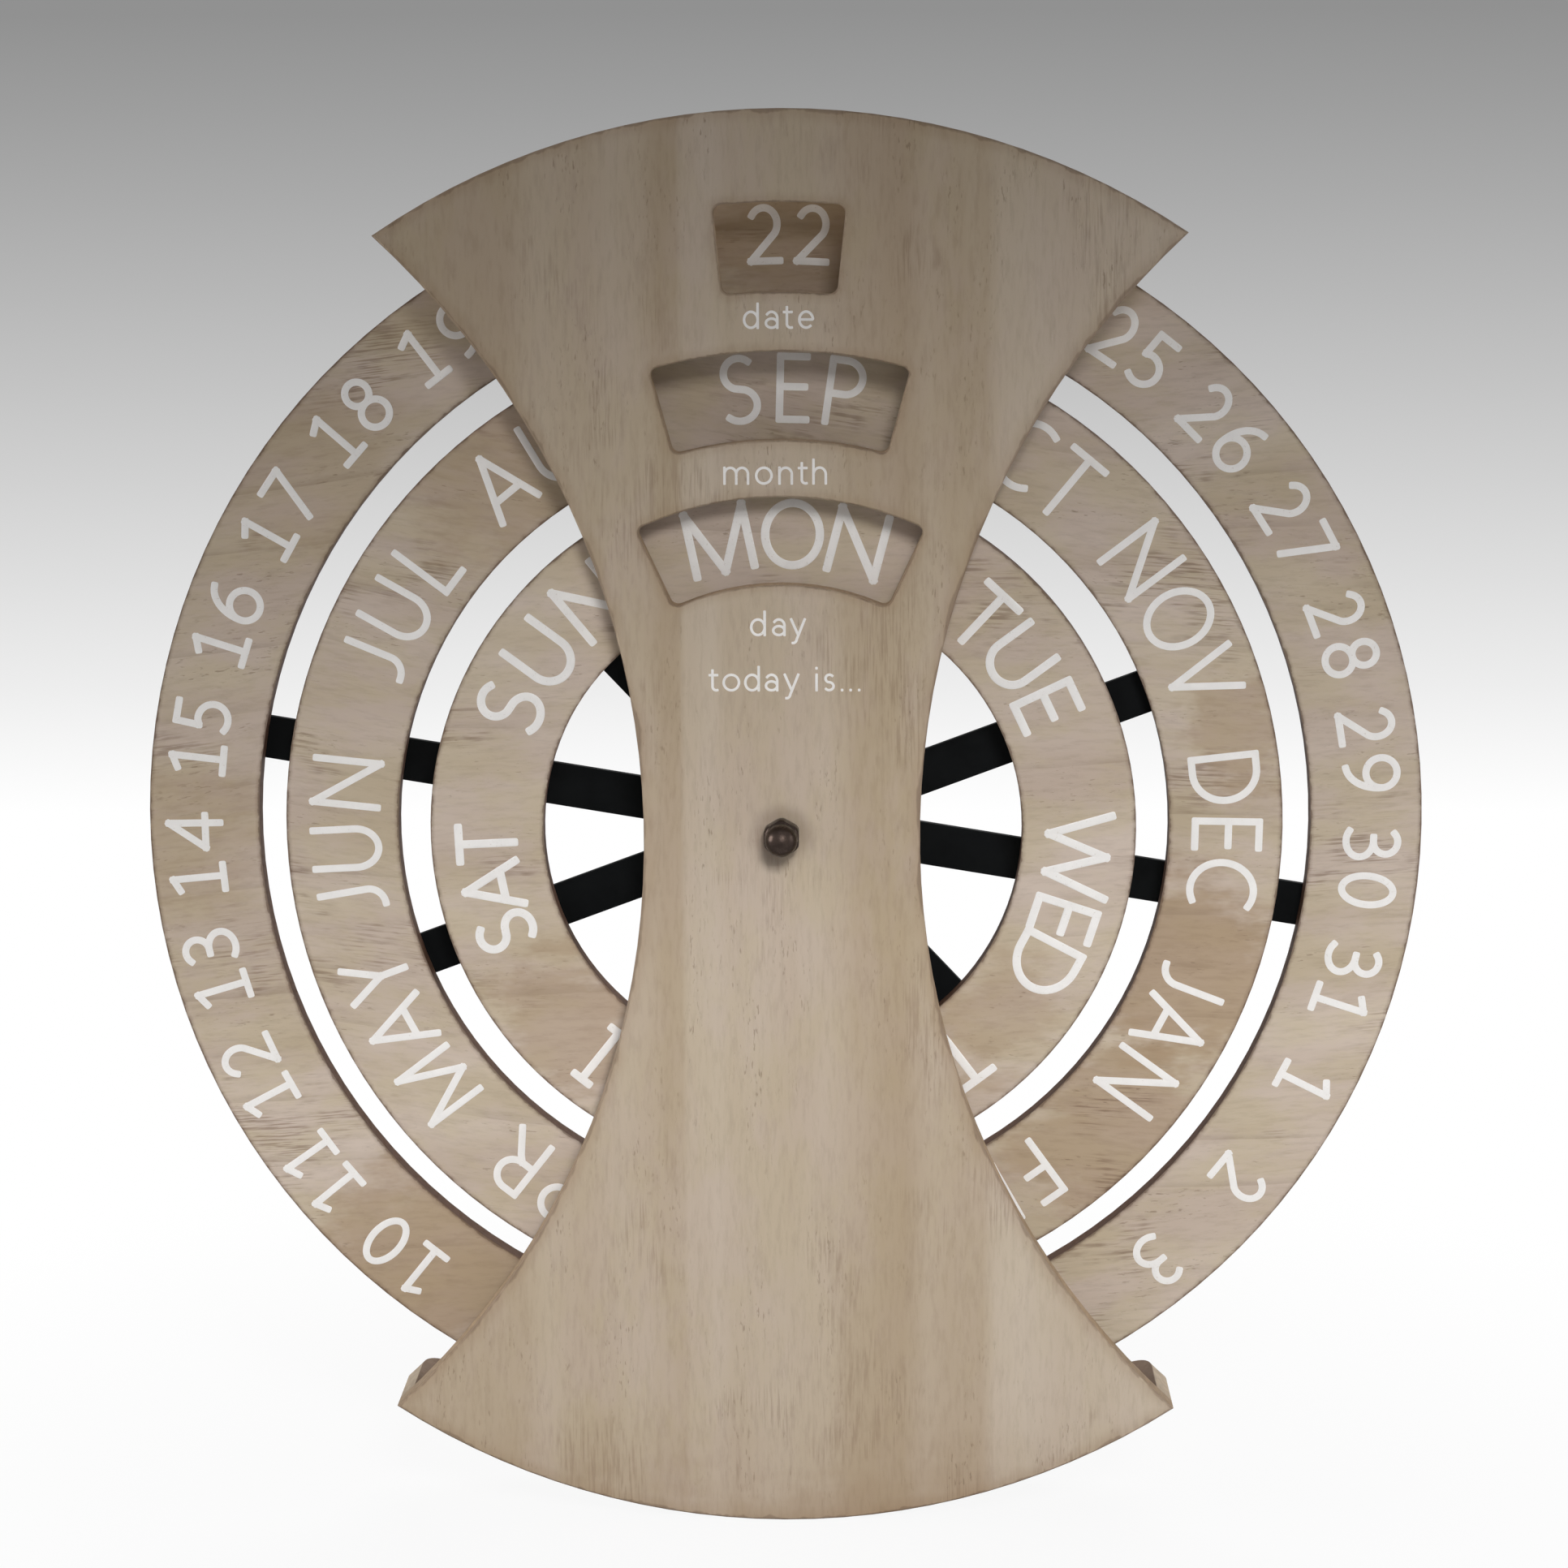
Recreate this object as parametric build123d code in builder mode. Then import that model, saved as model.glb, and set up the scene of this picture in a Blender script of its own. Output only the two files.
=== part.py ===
"""Perpetual desk calendar: three concentric wheels turn behind an hourglass front plate.

The date, month and day wheels are flat wooden rings.  Each ring sits on the front of a flat
metal bar that crosses its whole diameter.  The three bars are stacked on one bolt, with
a washer between each pair, so every wheel turns past the others.  The windows of the front
plate show one date, one month and one day.  The plate stands on a curved foot.

Frame: +Z up, +X to the right seen from the front, -Y to the front, in millimetres.
Origin: the middle of the footprint of the whole object, at the lowest line of the foot.
Depths are measured backwards (+Y) from the front face of the plate.
"""
import os
from math import cos, radians, sin

from build123d import *

# ---- Driving dimensions ---------------------------------------------------------------

# Front plate: a disc with a round bite out of each side
PLATE_RADIUS = 166.0
PLATE_THICKNESS = 6.0
SIDE_ARC_RADIUS = 188.0
WAIST_WIDTH = 64.0
EDGE_BREAK = 0.4

# Windows, each a piece of a ring with rounded corners
WINDOW_HEIGHT = 20.2
WINDOW_CORNER_RADIUS = 2.0
DATE_WINDOW_ANGLE = 12.0
MONTH_WINDOW_ANGLE = 31.0
DAY_WINDOW_ANGLE = 50.0
DATE_WINDOW_LIFT = 1.0
MONTH_WINDOW_LIFT = 1.0
DAY_WINDOW_LIFT = 2.4

# Foot: a strip bent to the lower arc of the plate, on three blocks
FOOT_DEPTH = 36.0
FOOT_THICKNESS = 5.0
FOOT_CORNER_RADIUS = 14.0
BLOCK_DEPTH = 9.0
BLOCK_ANGLE = 12.0
BLOCK_SPACING_ANGLE = 21.0
BLOCK_CHAMFER = 2.0

# Rings of the three wheels
RING_THICKNESS = 5.0
DATE_RING_WIDTH = 26.0
MONTH_RING_WIDTH = 26.5
DAY_RING_WIDTH = 26.5
DATE_MONTH_GAP = 7.0
MONTH_DAY_GAP = 8.0

# Bars that carry the rings, with their rest angles from +X
BAR_WIDTH = 10.0
BAR_THICKNESS = 2.0
BAR_END_MARGIN = 5.0
DATE_BAR_ANGLE = -9.4
MONTH_BAR_ANGLE = 20.3
DAY_BAR_ANGLE = -46.7

# Bolt, nuts and washers of the M5 pivot
BOLT_DIAMETER = 5.0
BOLT_ENGAGEMENT = 5.0
BOLT_TIP_CHAMFER = 0.6
BOLT_HEAD_HEIGHT = 3.5
HEX_ACROSS_FLATS = 8.0
HEX_CHAMFER = 0.45
ACORN_HEX_HEIGHT = 4.0
ACORN_DOME_DIAMETER = 7.5
ACORN_HEIGHT = 10.0
ACORN_BORE_DEPTH = 7.0
CLAMP_NUT_HEIGHT = 4.0
PLATE_WASHER_DIAMETER = 15.0
PLATE_WASHER_THICKNESS = 1.0
SLEEVE_DIAMETER = 9.0
SPACER_DIAMETER = 12.0
SPACER_THICKNESS = 2.0
REAR_WASHER_THICKNESS = 1.0
SPRING_WASHER_DIAMETER = 9.0
SPRING_WASHER_THICKNESS = 1.2
SPRING_WASHER_SLIT = 1.0

# Clearances
RING_TO_PLATE = 2.0
RIM_TO_FOOT = 11.0
RIM_TO_BLOCK = 2.5
BORE_CLEARANCE = 0.05
WASHER_CLEARANCE = 0.15

# ---- Derived sizes --------------------------------------------------------------------

HUB_HEIGHT = PLATE_RADIUS
PLATE_FRONT_Y = -(FOOT_DEPTH - ACORN_HEIGHT) / 2
SIDE_ARC_CENTRE = WAIST_WIDTH / 2 + SIDE_ARC_RADIUS
BOLT_RADIUS = BOLT_DIAMETER / 2
BLOCK_ANGLES = (-BLOCK_SPACING_ANGLE, 0.0, BLOCK_SPACING_ANGLE)
BLOCK_NAMES = ("left", "centre", "right")

FOOT_INNER_RADIUS = PLATE_RADIUS - FOOT_THICKNESS
DATE_OUTER = FOOT_INNER_RADIUS - RIM_TO_FOOT
DATE_INNER = DATE_OUTER - DATE_RING_WIDTH
MONTH_OUTER = DATE_INNER - DATE_MONTH_GAP
MONTH_INNER = MONTH_OUTER - MONTH_RING_WIDTH
DAY_OUTER = MONTH_INNER - MONTH_DAY_GAP
DAY_INNER = DAY_OUTER - DAY_RING_WIDTH
BLOCK_INNER_RADIUS = DATE_OUTER + RIM_TO_BLOCK
BLOCK_REAR = PLATE_THICKNESS + BLOCK_DEPTH

# Depths along the bolt, from the plate backwards
CLAMP_NUT_FRONT = PLATE_THICKNESS + PLATE_WASHER_THICKNESS
SLEEVE_FRONT = CLAMP_NUT_FRONT + CLAMP_NUT_HEIGHT
DAY_BAR_FRONT = PLATE_THICKNESS + RING_TO_PLATE + RING_THICKNESS
MONTH_BAR_FRONT = DAY_BAR_FRONT + BAR_THICKNESS + SPACER_THICKNESS
DATE_BAR_FRONT = MONTH_BAR_FRONT + BAR_THICKNESS + SPACER_THICKNESS
REAR_WASHER_FRONT = DATE_BAR_FRONT + BAR_THICKNESS
SPRING_WASHER_FRONT = REAR_WASHER_FRONT + REAR_WASHER_THICKNESS
BOLT_HEAD_FRONT = SPRING_WASHER_FRONT + SPRING_WASHER_THICKNESS

# name: outer radius, inner radius, depth of the bar's front, rest angle of the bar
WHEELS = {
    "date": (DATE_OUTER, DATE_INNER, DATE_BAR_FRONT, DATE_BAR_ANGLE),
    "month": (MONTH_OUTER, MONTH_INNER, MONTH_BAR_FRONT, MONTH_BAR_ANGLE),
    "day": (DAY_OUTER, DAY_INNER, DAY_BAR_FRONT, DAY_BAR_ANGLE),
}

# inner radius and angle across of each window
WINDOWS = (
    (DATE_INNER + DATE_WINDOW_LIFT, DATE_WINDOW_ANGLE),
    (MONTH_INNER + MONTH_WINDOW_LIFT, MONTH_WINDOW_ANGLE),
    (DAY_INNER + DAY_WINDOW_LIFT, DAY_WINDOW_ANGLE),
)


# ---- Planes and helpers ---------------------------------------------------------------


def upright_plane(depth, turn=0.0):
    """Plane through the hub axis, parallel to the plate, facing forward, turned about the hub."""
    across = (cos(radians(turn)), 0, sin(radians(turn)))
    return Plane(origin=(0, PLATE_FRONT_Y + depth, HUB_HEIGHT), x_dir=across, z_dir=(0, -1, 0))


def rear_plane(depth):
    """The plane of upright_plane, facing backward."""
    return Plane(origin=(0, PLATE_FRONT_Y + depth, HUB_HEIGHT), x_dir=(1, 0, 0), z_dir=(0, 1, 0))


def save(builder, name):
    """Label a finished piece and write its STEP file."""
    builder.part.label = name
    export_step(builder.part, f"parts/{name}.step")


def hourglass():
    """Outline shared by the plate and the foot: a disc with a round bite out of each side."""
    with BuildSketch() as outline:
        Circle(PLATE_RADIUS)
        with Locations((SIDE_ARC_CENTRE, 0), (-SIDE_ARC_CENTRE, 0)):
            Circle(SIDE_ARC_RADIUS, mode=Mode.SUBTRACT)
    return outline.sketch


def washer(depth, outer_diameter, thickness):
    """Flat washer on the bolt, with its front face at a depth."""
    with BuildPart() as ring:
        with BuildSketch(upright_plane(depth + thickness)):
            Circle(outer_diameter / 2)
            Circle(BOLT_RADIUS + WASHER_CLEARANCE, mode=Mode.SUBTRACT)
        extrude(amount=thickness)
    return ring


def hexagon(plane, height):
    """Hexagonal prism with a corner up, standing on a plane, its free end turned to a cone."""
    corner = HEX_ACROSS_FLATS / 2 / cos(radians(30))
    with BuildPart() as prism:
        with BuildSketch(plane):
            RegularPolygon(HEX_ACROSS_FLATS / 2, 6, major_radius=False, rotation=30)
        extrude(amount=height)
        with BuildSketch(Plane(origin=plane.origin, x_dir=plane.x_dir, z_dir=-plane.y_dir)):
            with BuildLine():
                Polyline((0, 0), (corner, 0), (corner, height - HEX_CHAMFER),
                         (corner - 2 * HEX_CHAMFER, height), (0, height), close=True)
            make_face()
        revolve(axis=Axis(plane.origin, plane.z_dir), mode=Mode.INTERSECT)
    return prism.part


os.makedirs("parts", exist_ok=True)

# ---- Front plate ----------------------------------------------------------------------

with BuildPart() as front_plate:
    with BuildSketch(upright_plane(PLATE_THICKNESS)):
        add(hourglass())
    extrude(amount=PLATE_THICKNESS)
    for inner_radius, angle_across in WINDOWS:
        start = 90 - angle_across / 2
        with BuildSketch(upright_plane(PLATE_THICKNESS)) as window:
            with BuildLine():
                top = CenterArc((0, 0), inner_radius + WINDOW_HEIGHT, start, angle_across)
                bottom = CenterArc((0, 0), inner_radius, start, angle_across)
                Line(top @ 0, bottom @ 0)
                Line(top @ 1, bottom @ 1)
            make_face()
            fillet(window.vertices(), WINDOW_CORNER_RADIUS)
        extrude(amount=PLATE_THICKNESS, mode=Mode.SUBTRACT)
    chamfer(front_plate.faces().sort_by(Axis.Y)[0].edges(), EDGE_BREAK)
    with BuildSketch(upright_plane(PLATE_THICKNESS)):
        Circle(BOLT_RADIUS + WASHER_CLEARANCE)
    extrude(amount=PLATE_THICKNESS, mode=Mode.SUBTRACT)
save(front_plate, "front_plate")

# ---- Foot strip and the blocks that join it to the plate ------------------------------

with BuildPart() as foot_strip:
    with BuildSketch(upright_plane(FOOT_DEPTH)):
        add(hourglass())
        Circle(FOOT_INNER_RADIUS, mode=Mode.SUBTRACT)
        with Locations((0, PLATE_RADIUS / 2)):
            Rectangle(2 * PLATE_RADIUS, PLATE_RADIUS, mode=Mode.SUBTRACT)
    extrude(amount=FOOT_DEPTH - PLATE_THICKNESS)
    rear_face = foot_strip.faces().sort_by(Axis.Y)[-1]
    fillet(rear_face.edges().sort_by(SortBy.LENGTH)[:2], FOOT_CORNER_RADIUS)
    # The rims of the rear face are broken all along, so that the corners stay round behind them
    rim_plane = Plane(origin=(0, PLATE_FRONT_Y + FOOT_DEPTH, HUB_HEIGHT),
                      x_dir=(0, 0, 1), z_dir=(1, 0, 0))
    with BuildSketch(rim_plane):
        for rim, outward in ((PLATE_RADIUS, 1), (FOOT_INNER_RADIUS, -1)):
            with BuildLine():
                Polyline((rim - outward * 2 * EDGE_BREAK, -EDGE_BREAK),
                         (rim + outward * EDGE_BREAK, 2 * EDGE_BREAK),
                         (rim + outward * EDGE_BREAK, -EDGE_BREAK), close=True)
            make_face()
    revolve(axis=Axis(rim_plane.origin, rim_plane.y_dir), mode=Mode.SUBTRACT)
save(foot_strip, "foot_strip")

for block_name, block_angle in zip(BLOCK_NAMES, BLOCK_ANGLES):
    block_start = -90 + block_angle - BLOCK_ANGLE / 2
    with BuildPart() as foot_block:
        with BuildSketch(upright_plane(BLOCK_REAR)):
            with BuildLine():
                outer = CenterArc((0, 0), FOOT_INNER_RADIUS, block_start, BLOCK_ANGLE)
                inner = CenterArc((0, 0), BLOCK_INNER_RADIUS, block_start, BLOCK_ANGLE)
                Line(outer @ 0, inner @ 0)
                Line(outer @ 1, inner @ 1)
            make_face()
        extrude(amount=BLOCK_DEPTH)
        inner_rear_edge = foot_block.faces().sort_by(Axis.Y)[-1].edges().sort_by(Axis.Z)[-1]
        chamfer(inner_rear_edge, BLOCK_CHAMFER)
    save(foot_block, f"foot_block_{block_name}")

# ---- Wheels: a ring on the front of its bar -------------------------------------------

for wheel_name, (outer_radius, inner_radius, bar_front, bar_angle) in WHEELS.items():
    with BuildPart() as ring:
        with BuildSketch(upright_plane(bar_front)):
            Circle(outer_radius)
            Circle(inner_radius, mode=Mode.SUBTRACT)
        extrude(amount=RING_THICKNESS)
    save(ring, f"{wheel_name}_ring")

    with BuildPart() as bar:
        with BuildSketch(upright_plane(bar_front + BAR_THICKNESS, bar_angle)):
            SlotOverall(2 * (outer_radius - BAR_END_MARGIN), BAR_WIDTH)
            Circle(BOLT_RADIUS + BORE_CLEARANCE, mode=Mode.SUBTRACT)
        extrude(amount=BAR_THICKNESS)
    save(bar, f"{wheel_name}_bar")

# ---- Pivot: bolt, nuts, sleeve and washers --------------------------------------------

with BuildPart() as pivot_bolt:
    add(hexagon(rear_plane(BOLT_HEAD_FRONT), BOLT_HEAD_HEIGHT))
    with BuildSketch(upright_plane(BOLT_HEAD_FRONT)):
        Circle(BOLT_RADIUS)
    extrude(amount=BOLT_HEAD_FRONT + BOLT_ENGAGEMENT)
    chamfer(pivot_bolt.faces().sort_by(Axis.Y)[0].edges(), BOLT_TIP_CHAMFER)
save(pivot_bolt, "pivot_bolt")

with BuildPart() as acorn_nut:
    add(hexagon(upright_plane(0), ACORN_HEX_HEIGHT))
    dome_radius = ACORN_DOME_DIAMETER / 2
    with BuildSketch(upright_plane(0)):
        Circle(dome_radius)
    extrude(amount=ACORN_HEIGHT - dome_radius)
    with Locations(upright_plane(-(ACORN_HEIGHT - dome_radius))):
        Sphere(dome_radius)
    with BuildSketch(upright_plane(0)):
        Circle(BOLT_RADIUS + BORE_CLEARANCE)
    extrude(amount=ACORN_BORE_DEPTH, mode=Mode.SUBTRACT)
save(acorn_nut, "acorn_nut")

with BuildPart() as clamp_nut:
    add(hexagon(rear_plane(CLAMP_NUT_FRONT), CLAMP_NUT_HEIGHT))
    with BuildSketch(rear_plane(CLAMP_NUT_FRONT)):
        Circle(BOLT_RADIUS + BORE_CLEARANCE)
    extrude(amount=CLAMP_NUT_HEIGHT, mode=Mode.SUBTRACT)
save(clamp_nut, "clamp_nut")

plate_washer = washer(PLATE_THICKNESS, PLATE_WASHER_DIAMETER, PLATE_WASHER_THICKNESS)
save(plate_washer, "plate_washer")

spacer_sleeve = washer(SLEEVE_FRONT, SLEEVE_DIAMETER, DAY_BAR_FRONT - SLEEVE_FRONT)
save(spacer_sleeve, "spacer_sleeve")

day_month_washer = washer(DAY_BAR_FRONT + BAR_THICKNESS, SPACER_DIAMETER, SPACER_THICKNESS)
save(day_month_washer, "day_month_washer")

month_date_washer = washer(MONTH_BAR_FRONT + BAR_THICKNESS, SPACER_DIAMETER, SPACER_THICKNESS)
save(month_date_washer, "month_date_washer")

rear_washer = washer(REAR_WASHER_FRONT, SPACER_DIAMETER, REAR_WASHER_THICKNESS)
save(rear_washer, "rear_washer")

with BuildPart() as spring_washer:
    with BuildSketch(upright_plane(BOLT_HEAD_FRONT)):
        Circle(SPRING_WASHER_DIAMETER / 2)
        Circle(BOLT_RADIUS + WASHER_CLEARANCE, mode=Mode.SUBTRACT)
        with Locations((0, SPRING_WASHER_DIAMETER / 2)):
            Rectangle(SPRING_WASHER_SLIT, SPRING_WASHER_DIAMETER, mode=Mode.SUBTRACT)
    extrude(amount=SPRING_WASHER_THICKNESS)
save(spring_washer, "spring_washer")
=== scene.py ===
from functools import partialmethod
from math import radians

import bpy
import numpy as np
from bpy.props import FloatProperty, FloatVectorProperty, PointerProperty
from mathutils import Matrix, Vector


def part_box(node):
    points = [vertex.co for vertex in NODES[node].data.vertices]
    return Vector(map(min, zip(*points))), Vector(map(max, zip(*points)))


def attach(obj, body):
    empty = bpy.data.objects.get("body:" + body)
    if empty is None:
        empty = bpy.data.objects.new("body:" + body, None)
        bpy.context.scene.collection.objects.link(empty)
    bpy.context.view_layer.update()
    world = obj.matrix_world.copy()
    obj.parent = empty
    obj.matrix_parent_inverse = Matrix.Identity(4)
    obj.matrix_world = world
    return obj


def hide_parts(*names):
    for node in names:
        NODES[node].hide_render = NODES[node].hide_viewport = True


bl_info = {
    "name": "Perpetual desk calendar",
    "version": (1, 0, 0),
    "blender": (4, 5, 0),
    "location": "3D View > Sidebar > Calendar",
    "description": "Finishes, lettering, nuts, screws and studio of a wheel calendar",
    "category": "Object",
}

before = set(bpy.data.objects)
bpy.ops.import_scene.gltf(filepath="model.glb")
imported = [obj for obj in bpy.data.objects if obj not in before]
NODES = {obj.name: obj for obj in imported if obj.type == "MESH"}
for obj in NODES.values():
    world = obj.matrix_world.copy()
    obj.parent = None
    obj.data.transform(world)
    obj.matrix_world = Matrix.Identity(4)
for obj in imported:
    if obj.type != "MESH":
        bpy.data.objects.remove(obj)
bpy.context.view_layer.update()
MM = 0.001

# Places that come from the frame, in metres
PLATE_LOW, PLATE_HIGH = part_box("front_plate")
HUB = ((PLATE_LOW.x + PLATE_HIGH.x) / 2, (PLATE_LOW.z + PLATE_HIGH.z) / 2)
PLATE_RADIUS = (PLATE_HIGH.z - PLATE_LOW.z) / 2
WHEELS = ("date", "month", "day")


def ring_radii(wheel):
    """Radii of a wheel's ring: the least distance of its vertices from the hub, and half of its
    breadth."""
    mesh = NODES[f"{wheel}_ring"].data
    corners = np.empty(len(mesh.vertices) * 3)
    mesh.vertices.foreach_get("co", corners)
    across, _, up = corners.reshape(-1, 3).T
    low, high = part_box(f"{wheel}_ring")
    return float(np.hypot(across - HUB[0], up - HUB[1]).min()), (high.x - low.x) / 2


RINGS = {wheel: ring_radii(wheel) for wheel in WHEELS}

# What no box of the frame gives.  The side arcs' centres lie at both sides of the hub
SIDE_ARC_RADIUS = 188 * MM
SIDE_ARC_CENTRE = 220 * MM
# Windows of the plate: inner and outer radius and half of the angle, round the hub
WINDOWS = ((125.0 * MM, 145.2 * MM, radians(6)), (91.5 * MM, 111.7 * MM, radians(15.5)),
           (58.4 * MM, 78.6 * MM, radians(25)))
WINDOW_CORNER = 2 * MM
# Radius just outside the inner face of the foot strip; walls nearer the hub take painted shade
FOOT_SHADE_RADIUS = 161.3 * MM
# In degrees: bars against level, and foot blocks and their screws against straight down
BAR_SLOPES = {"date": -9.4, "month": 20.3, "day": -46.7}
BLOCK_ANGLES = {"left": -21, "centre": 0, "right": 21}
BLOCK_SCREW_STEP = 3.3
BLOCK_SCREW_RADIUS = 157.6 * MM


def paint(red, green, blue):
    """Linear colour of a display colour whose parts run from 0 to 255."""
    parts = np.array([red, green, blue]) / 255
    linear = np.where(parts > 0.04045, ((parts + 0.055) / 1.055) ** 2.4, parts / 12.92)
    return tuple(float(part) for part in linear)


def colour(name, description, default):
    return FloatVectorProperty(name=name, description=description, subtype="COLOR",
                               default=paint(*default), min=0, max=1)


def length(name, description, default):
    return FloatProperty(name=name, description=description, default=default * MM,
                         unit="LENGTH", subtype="DISTANCE", precision=5)


def power(name, description, default):
    return FloatProperty(name=name, description=description, default=default, unit="POWER")


def fraction(name, description, default):
    return FloatProperty(name=name, description=description, default=default, min=0, max=1)


# ---- Settings ----


class WoodSettings(bpy.types.PropertyGroup):
    plate_pale: colour("Plate pale", "Limed part of the plate's grain", (194, 180, 163))
    plate_brown: colour("Plate brown", "Brown bands of the plate's grain", (166, 146, 120))
    ring_pale: colour("Ring pale", "Limed part of the rings' grain", (213, 199, 184))
    ring_brown: colour("Ring brown", "Brown bands of the rings' grain", (178, 160, 139))
    ash_grey: colour("Ash grey", "Cool pinkish wash between the fibres", (190, 173, 162))
    straw: colour("Straw", "Warmer yellow between the fibres", (183, 168, 139))
    # Also painted shade: the first date patch sits behind the date window at rest
    heart: colour("Heartwood", "Darker patches of the rings", (161, 137, 109))
    grain_line: colour("Grain line", "Fine dark lines and pores", (106, 85, 66))
    fibre: colour("Fibre", "Clusters of reddish-brown fibres", (104, 76, 58))
    edge_stain: colour("Edge stain", "Warm stain near the plate's edges", (150, 125, 98))
    # Besides the burnt walls and edges, this colour is painted shade round the nut on the plate and
    # on the walls inside the foot strip
    scorch: colour("Scorch", "Walls of the rings, browned by the cut", (84, 60, 46))
    plate_wall: colour("Plate wall", "Walls of the plate and its windows", (170, 147, 121))
    foot_pale: colour("Foot pale", "Limed part of the foot's grain", (180, 163, 142))
    foot_brown: colour("Foot brown", "Brown bands of the foot's grain", (138, 118, 96))
    relief: length("Relief", "Depth of the grain", 0.05)


class LetterSettings(bpy.types.PropertyGroup):
    ink: colour("Ink", "White print on the rings and the plate", (238, 235, 232))
    ink_height: length("Ink height", "How far the print stands proud", 0.07)
    ink_sink: length("Ink sink", "How far its edge dips into the wood", 0.02)
    number_height: length("Number height", "Height of the dates", 13.9)
    number_stroke: length("Number stroke", "Stroke of the dates", 1.75)
    number_middle: length("Number middle", "Distance of the dates from the hub", 138.9)
    month_height: length("Month height", "Height of the months' capitals", 17.0)
    month_stroke: length("Month stroke", "Stroke of the months", 1.77)
    month_middle: length("Month middle", "Distance of the months from the hub", 103.5)
    day_height: length("Day height", "Height of the days' capitals", 16.8)
    day_stroke: length("Day stroke", "Stroke of the days", 2.02)
    day_middle: length("Day middle", "Distance of the days from the hub", 69.2)
    caption_height: length("Caption height", "Height of the captions' small letters", 4.2)
    caption_stroke: length("Caption stroke", "Stroke of the captions", 0.62)


class MetalSettings(bpy.types.PropertyGroup):
    bar_black: colour("Bar black", "Powder coat of the bars", (12, 14, 15))
    nut_bronze: colour("Nut bronze", "Dark bronze of the acorn nut", (66, 56, 51))
    zinc: colour("Zinc", "Bolt, clamp nut and spring washer", (176, 176, 172))
    nylon: colour("Nylon", "Washers and sleeve between the bars", (222, 219, 208))
    head_radius: length("Head radius", "Radius of a pan-head screw", 2.9)
    head_height: length("Head height", "Height of a pan-head screw", 1.15)
    bar_screw_offset: length("Bar screw offset", "From the ring's middle, along the bar", 6.5)


class StudioSettings(bpy.types.PropertyGroup):
    lens: FloatProperty(name="Lens", description="Focal length on a 36 mm sensor",
                        default=85.27, unit="CAMERA")
    backdrop_top: fraction("Backdrop top", "Display grey at the top of the view", 145 / 255)
    floor_tone: colour("Floor", "Pale floor and backdrop", (185, 185, 185))
    key: power("Key", "All lamps of the bank in front, above", 116)
    fill: power("Fill", "All lamps of the wide bank in front", 8)
    steady: fraction("Steady", "Share of both banks that reaches the top", 0.18)
    fade_height: length("Fade height", "Height at which the rest of their light ends", 247)
    left: power("Left", "Soft box level with the plate, at the left", 11)
    right: power("Right", "Soft box level with the plate, at the right", 3)
    rear: power("Rear", "Soft box behind and above", 22)
    sky: fraction("Sky", "Even light from all round", 0.02)


# ---- Mesh helpers ----


def strip_faces(rows, columns, close_rows):
    """Quads of a grid of points whose columns run round in a ring: each quad joins a point to
    its neighbours in the next column and the next row.  Rows join up too where they are closed."""
    row = np.arange(rows if close_rows else rows - 1)[:, None]
    column = np.arange(columns)[None, :]
    below, beside = (row + 1) % rows, (column + 1) % columns
    quads = np.stack([row * columns + column, row * columns + beside,
                      below * columns + beside, below * columns + column], axis=-1)
    return quads.reshape(-1, 4).tolist()


def fan_faces(columns, ring_start, pole, inward):
    """Triangles from one row of a grid to a single point."""
    column = np.arange(columns)
    near, far = ring_start + column, ring_start + (column + 1) % columns
    pair = (near, far) if inward else (far, near)
    return np.stack([*pair, np.full(columns, pole)], axis=-1).tolist()


def capped(points, columns, poles):
    """A grid of points whose columns run round, with both open ends drawn to a point."""
    rows = len(points) // columns
    faces = strip_faces(rows, columns, False)
    faces += fan_faces(columns, 0, len(points), True)
    faces += fan_faces(columns, (rows - 1) * columns, len(points) + 1, False)
    return np.concatenate([points, poles]), faces


def gather(parts):
    """Joins (points, faces) pairs into one, with the faces of each moved on past the ones before."""
    points, faces, start = [], [], 0
    for part_points, part_faces in parts:
        points.append(part_points)
        faces += [[corner + start for corner in face] for face in part_faces]
        start += len(part_points)
    return np.concatenate(points), faces


def new_piece(name, parts, body, material, smooth_below=35):
    """One piece from (points, faces) pairs in metres, riding on a body, sharp above an angle."""
    points, faces = gather(parts)
    mesh = bpy.data.meshes.new(name)
    mesh.from_pydata(points.tolist(), [], faces)
    mesh.update()
    mesh.shade_smooth()
    mesh.set_sharp_from_angle(angle=radians(smooth_below))
    mesh.materials.append(material)
    piece = bpy.data.objects.new(name, mesh)
    bpy.context.scene.collection.objects.link(piece)
    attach(piece, body)
    return piece


# ---- Lettering ----


def line(x0, y0, x1, y1):
    """Straight stroke as its two ends."""
    return np.array([(x0, y0), (x1, y1)], float)


def arc(cx, cy, rx, ry, start, end):
    """Part of an ellipse: centre plus radii times cosine and sine of an angle in degrees."""
    count = max(int(abs(end - start) / 7.5), 2) + 1
    angle = np.radians(np.linspace(start, end, count))
    return np.stack([cx + rx * np.cos(angle), cy + ry * np.sin(angle)], axis=-1)


def joined(*parts):
    """Strokes end to end, without the points that meet."""
    kept = [parts[0]] + [part[1:] if np.allclose(part[0], before[-1], atol=1e-6) else part
                         for before, part in zip(parts, parts[1:])]
    return np.concatenate(kept)


def oval(cx, cy, rx, ry):
    """Closed elliptical stroke."""
    return arc(cx, cy, rx, ry, 90, 450)


STEM = line(0, 0, 0, 1)
ARCH = joined(arc(0.39, 0.58, 0.39, 0.42, 180, 0), line(0.78, 0.58, 0.78, 0))

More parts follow.
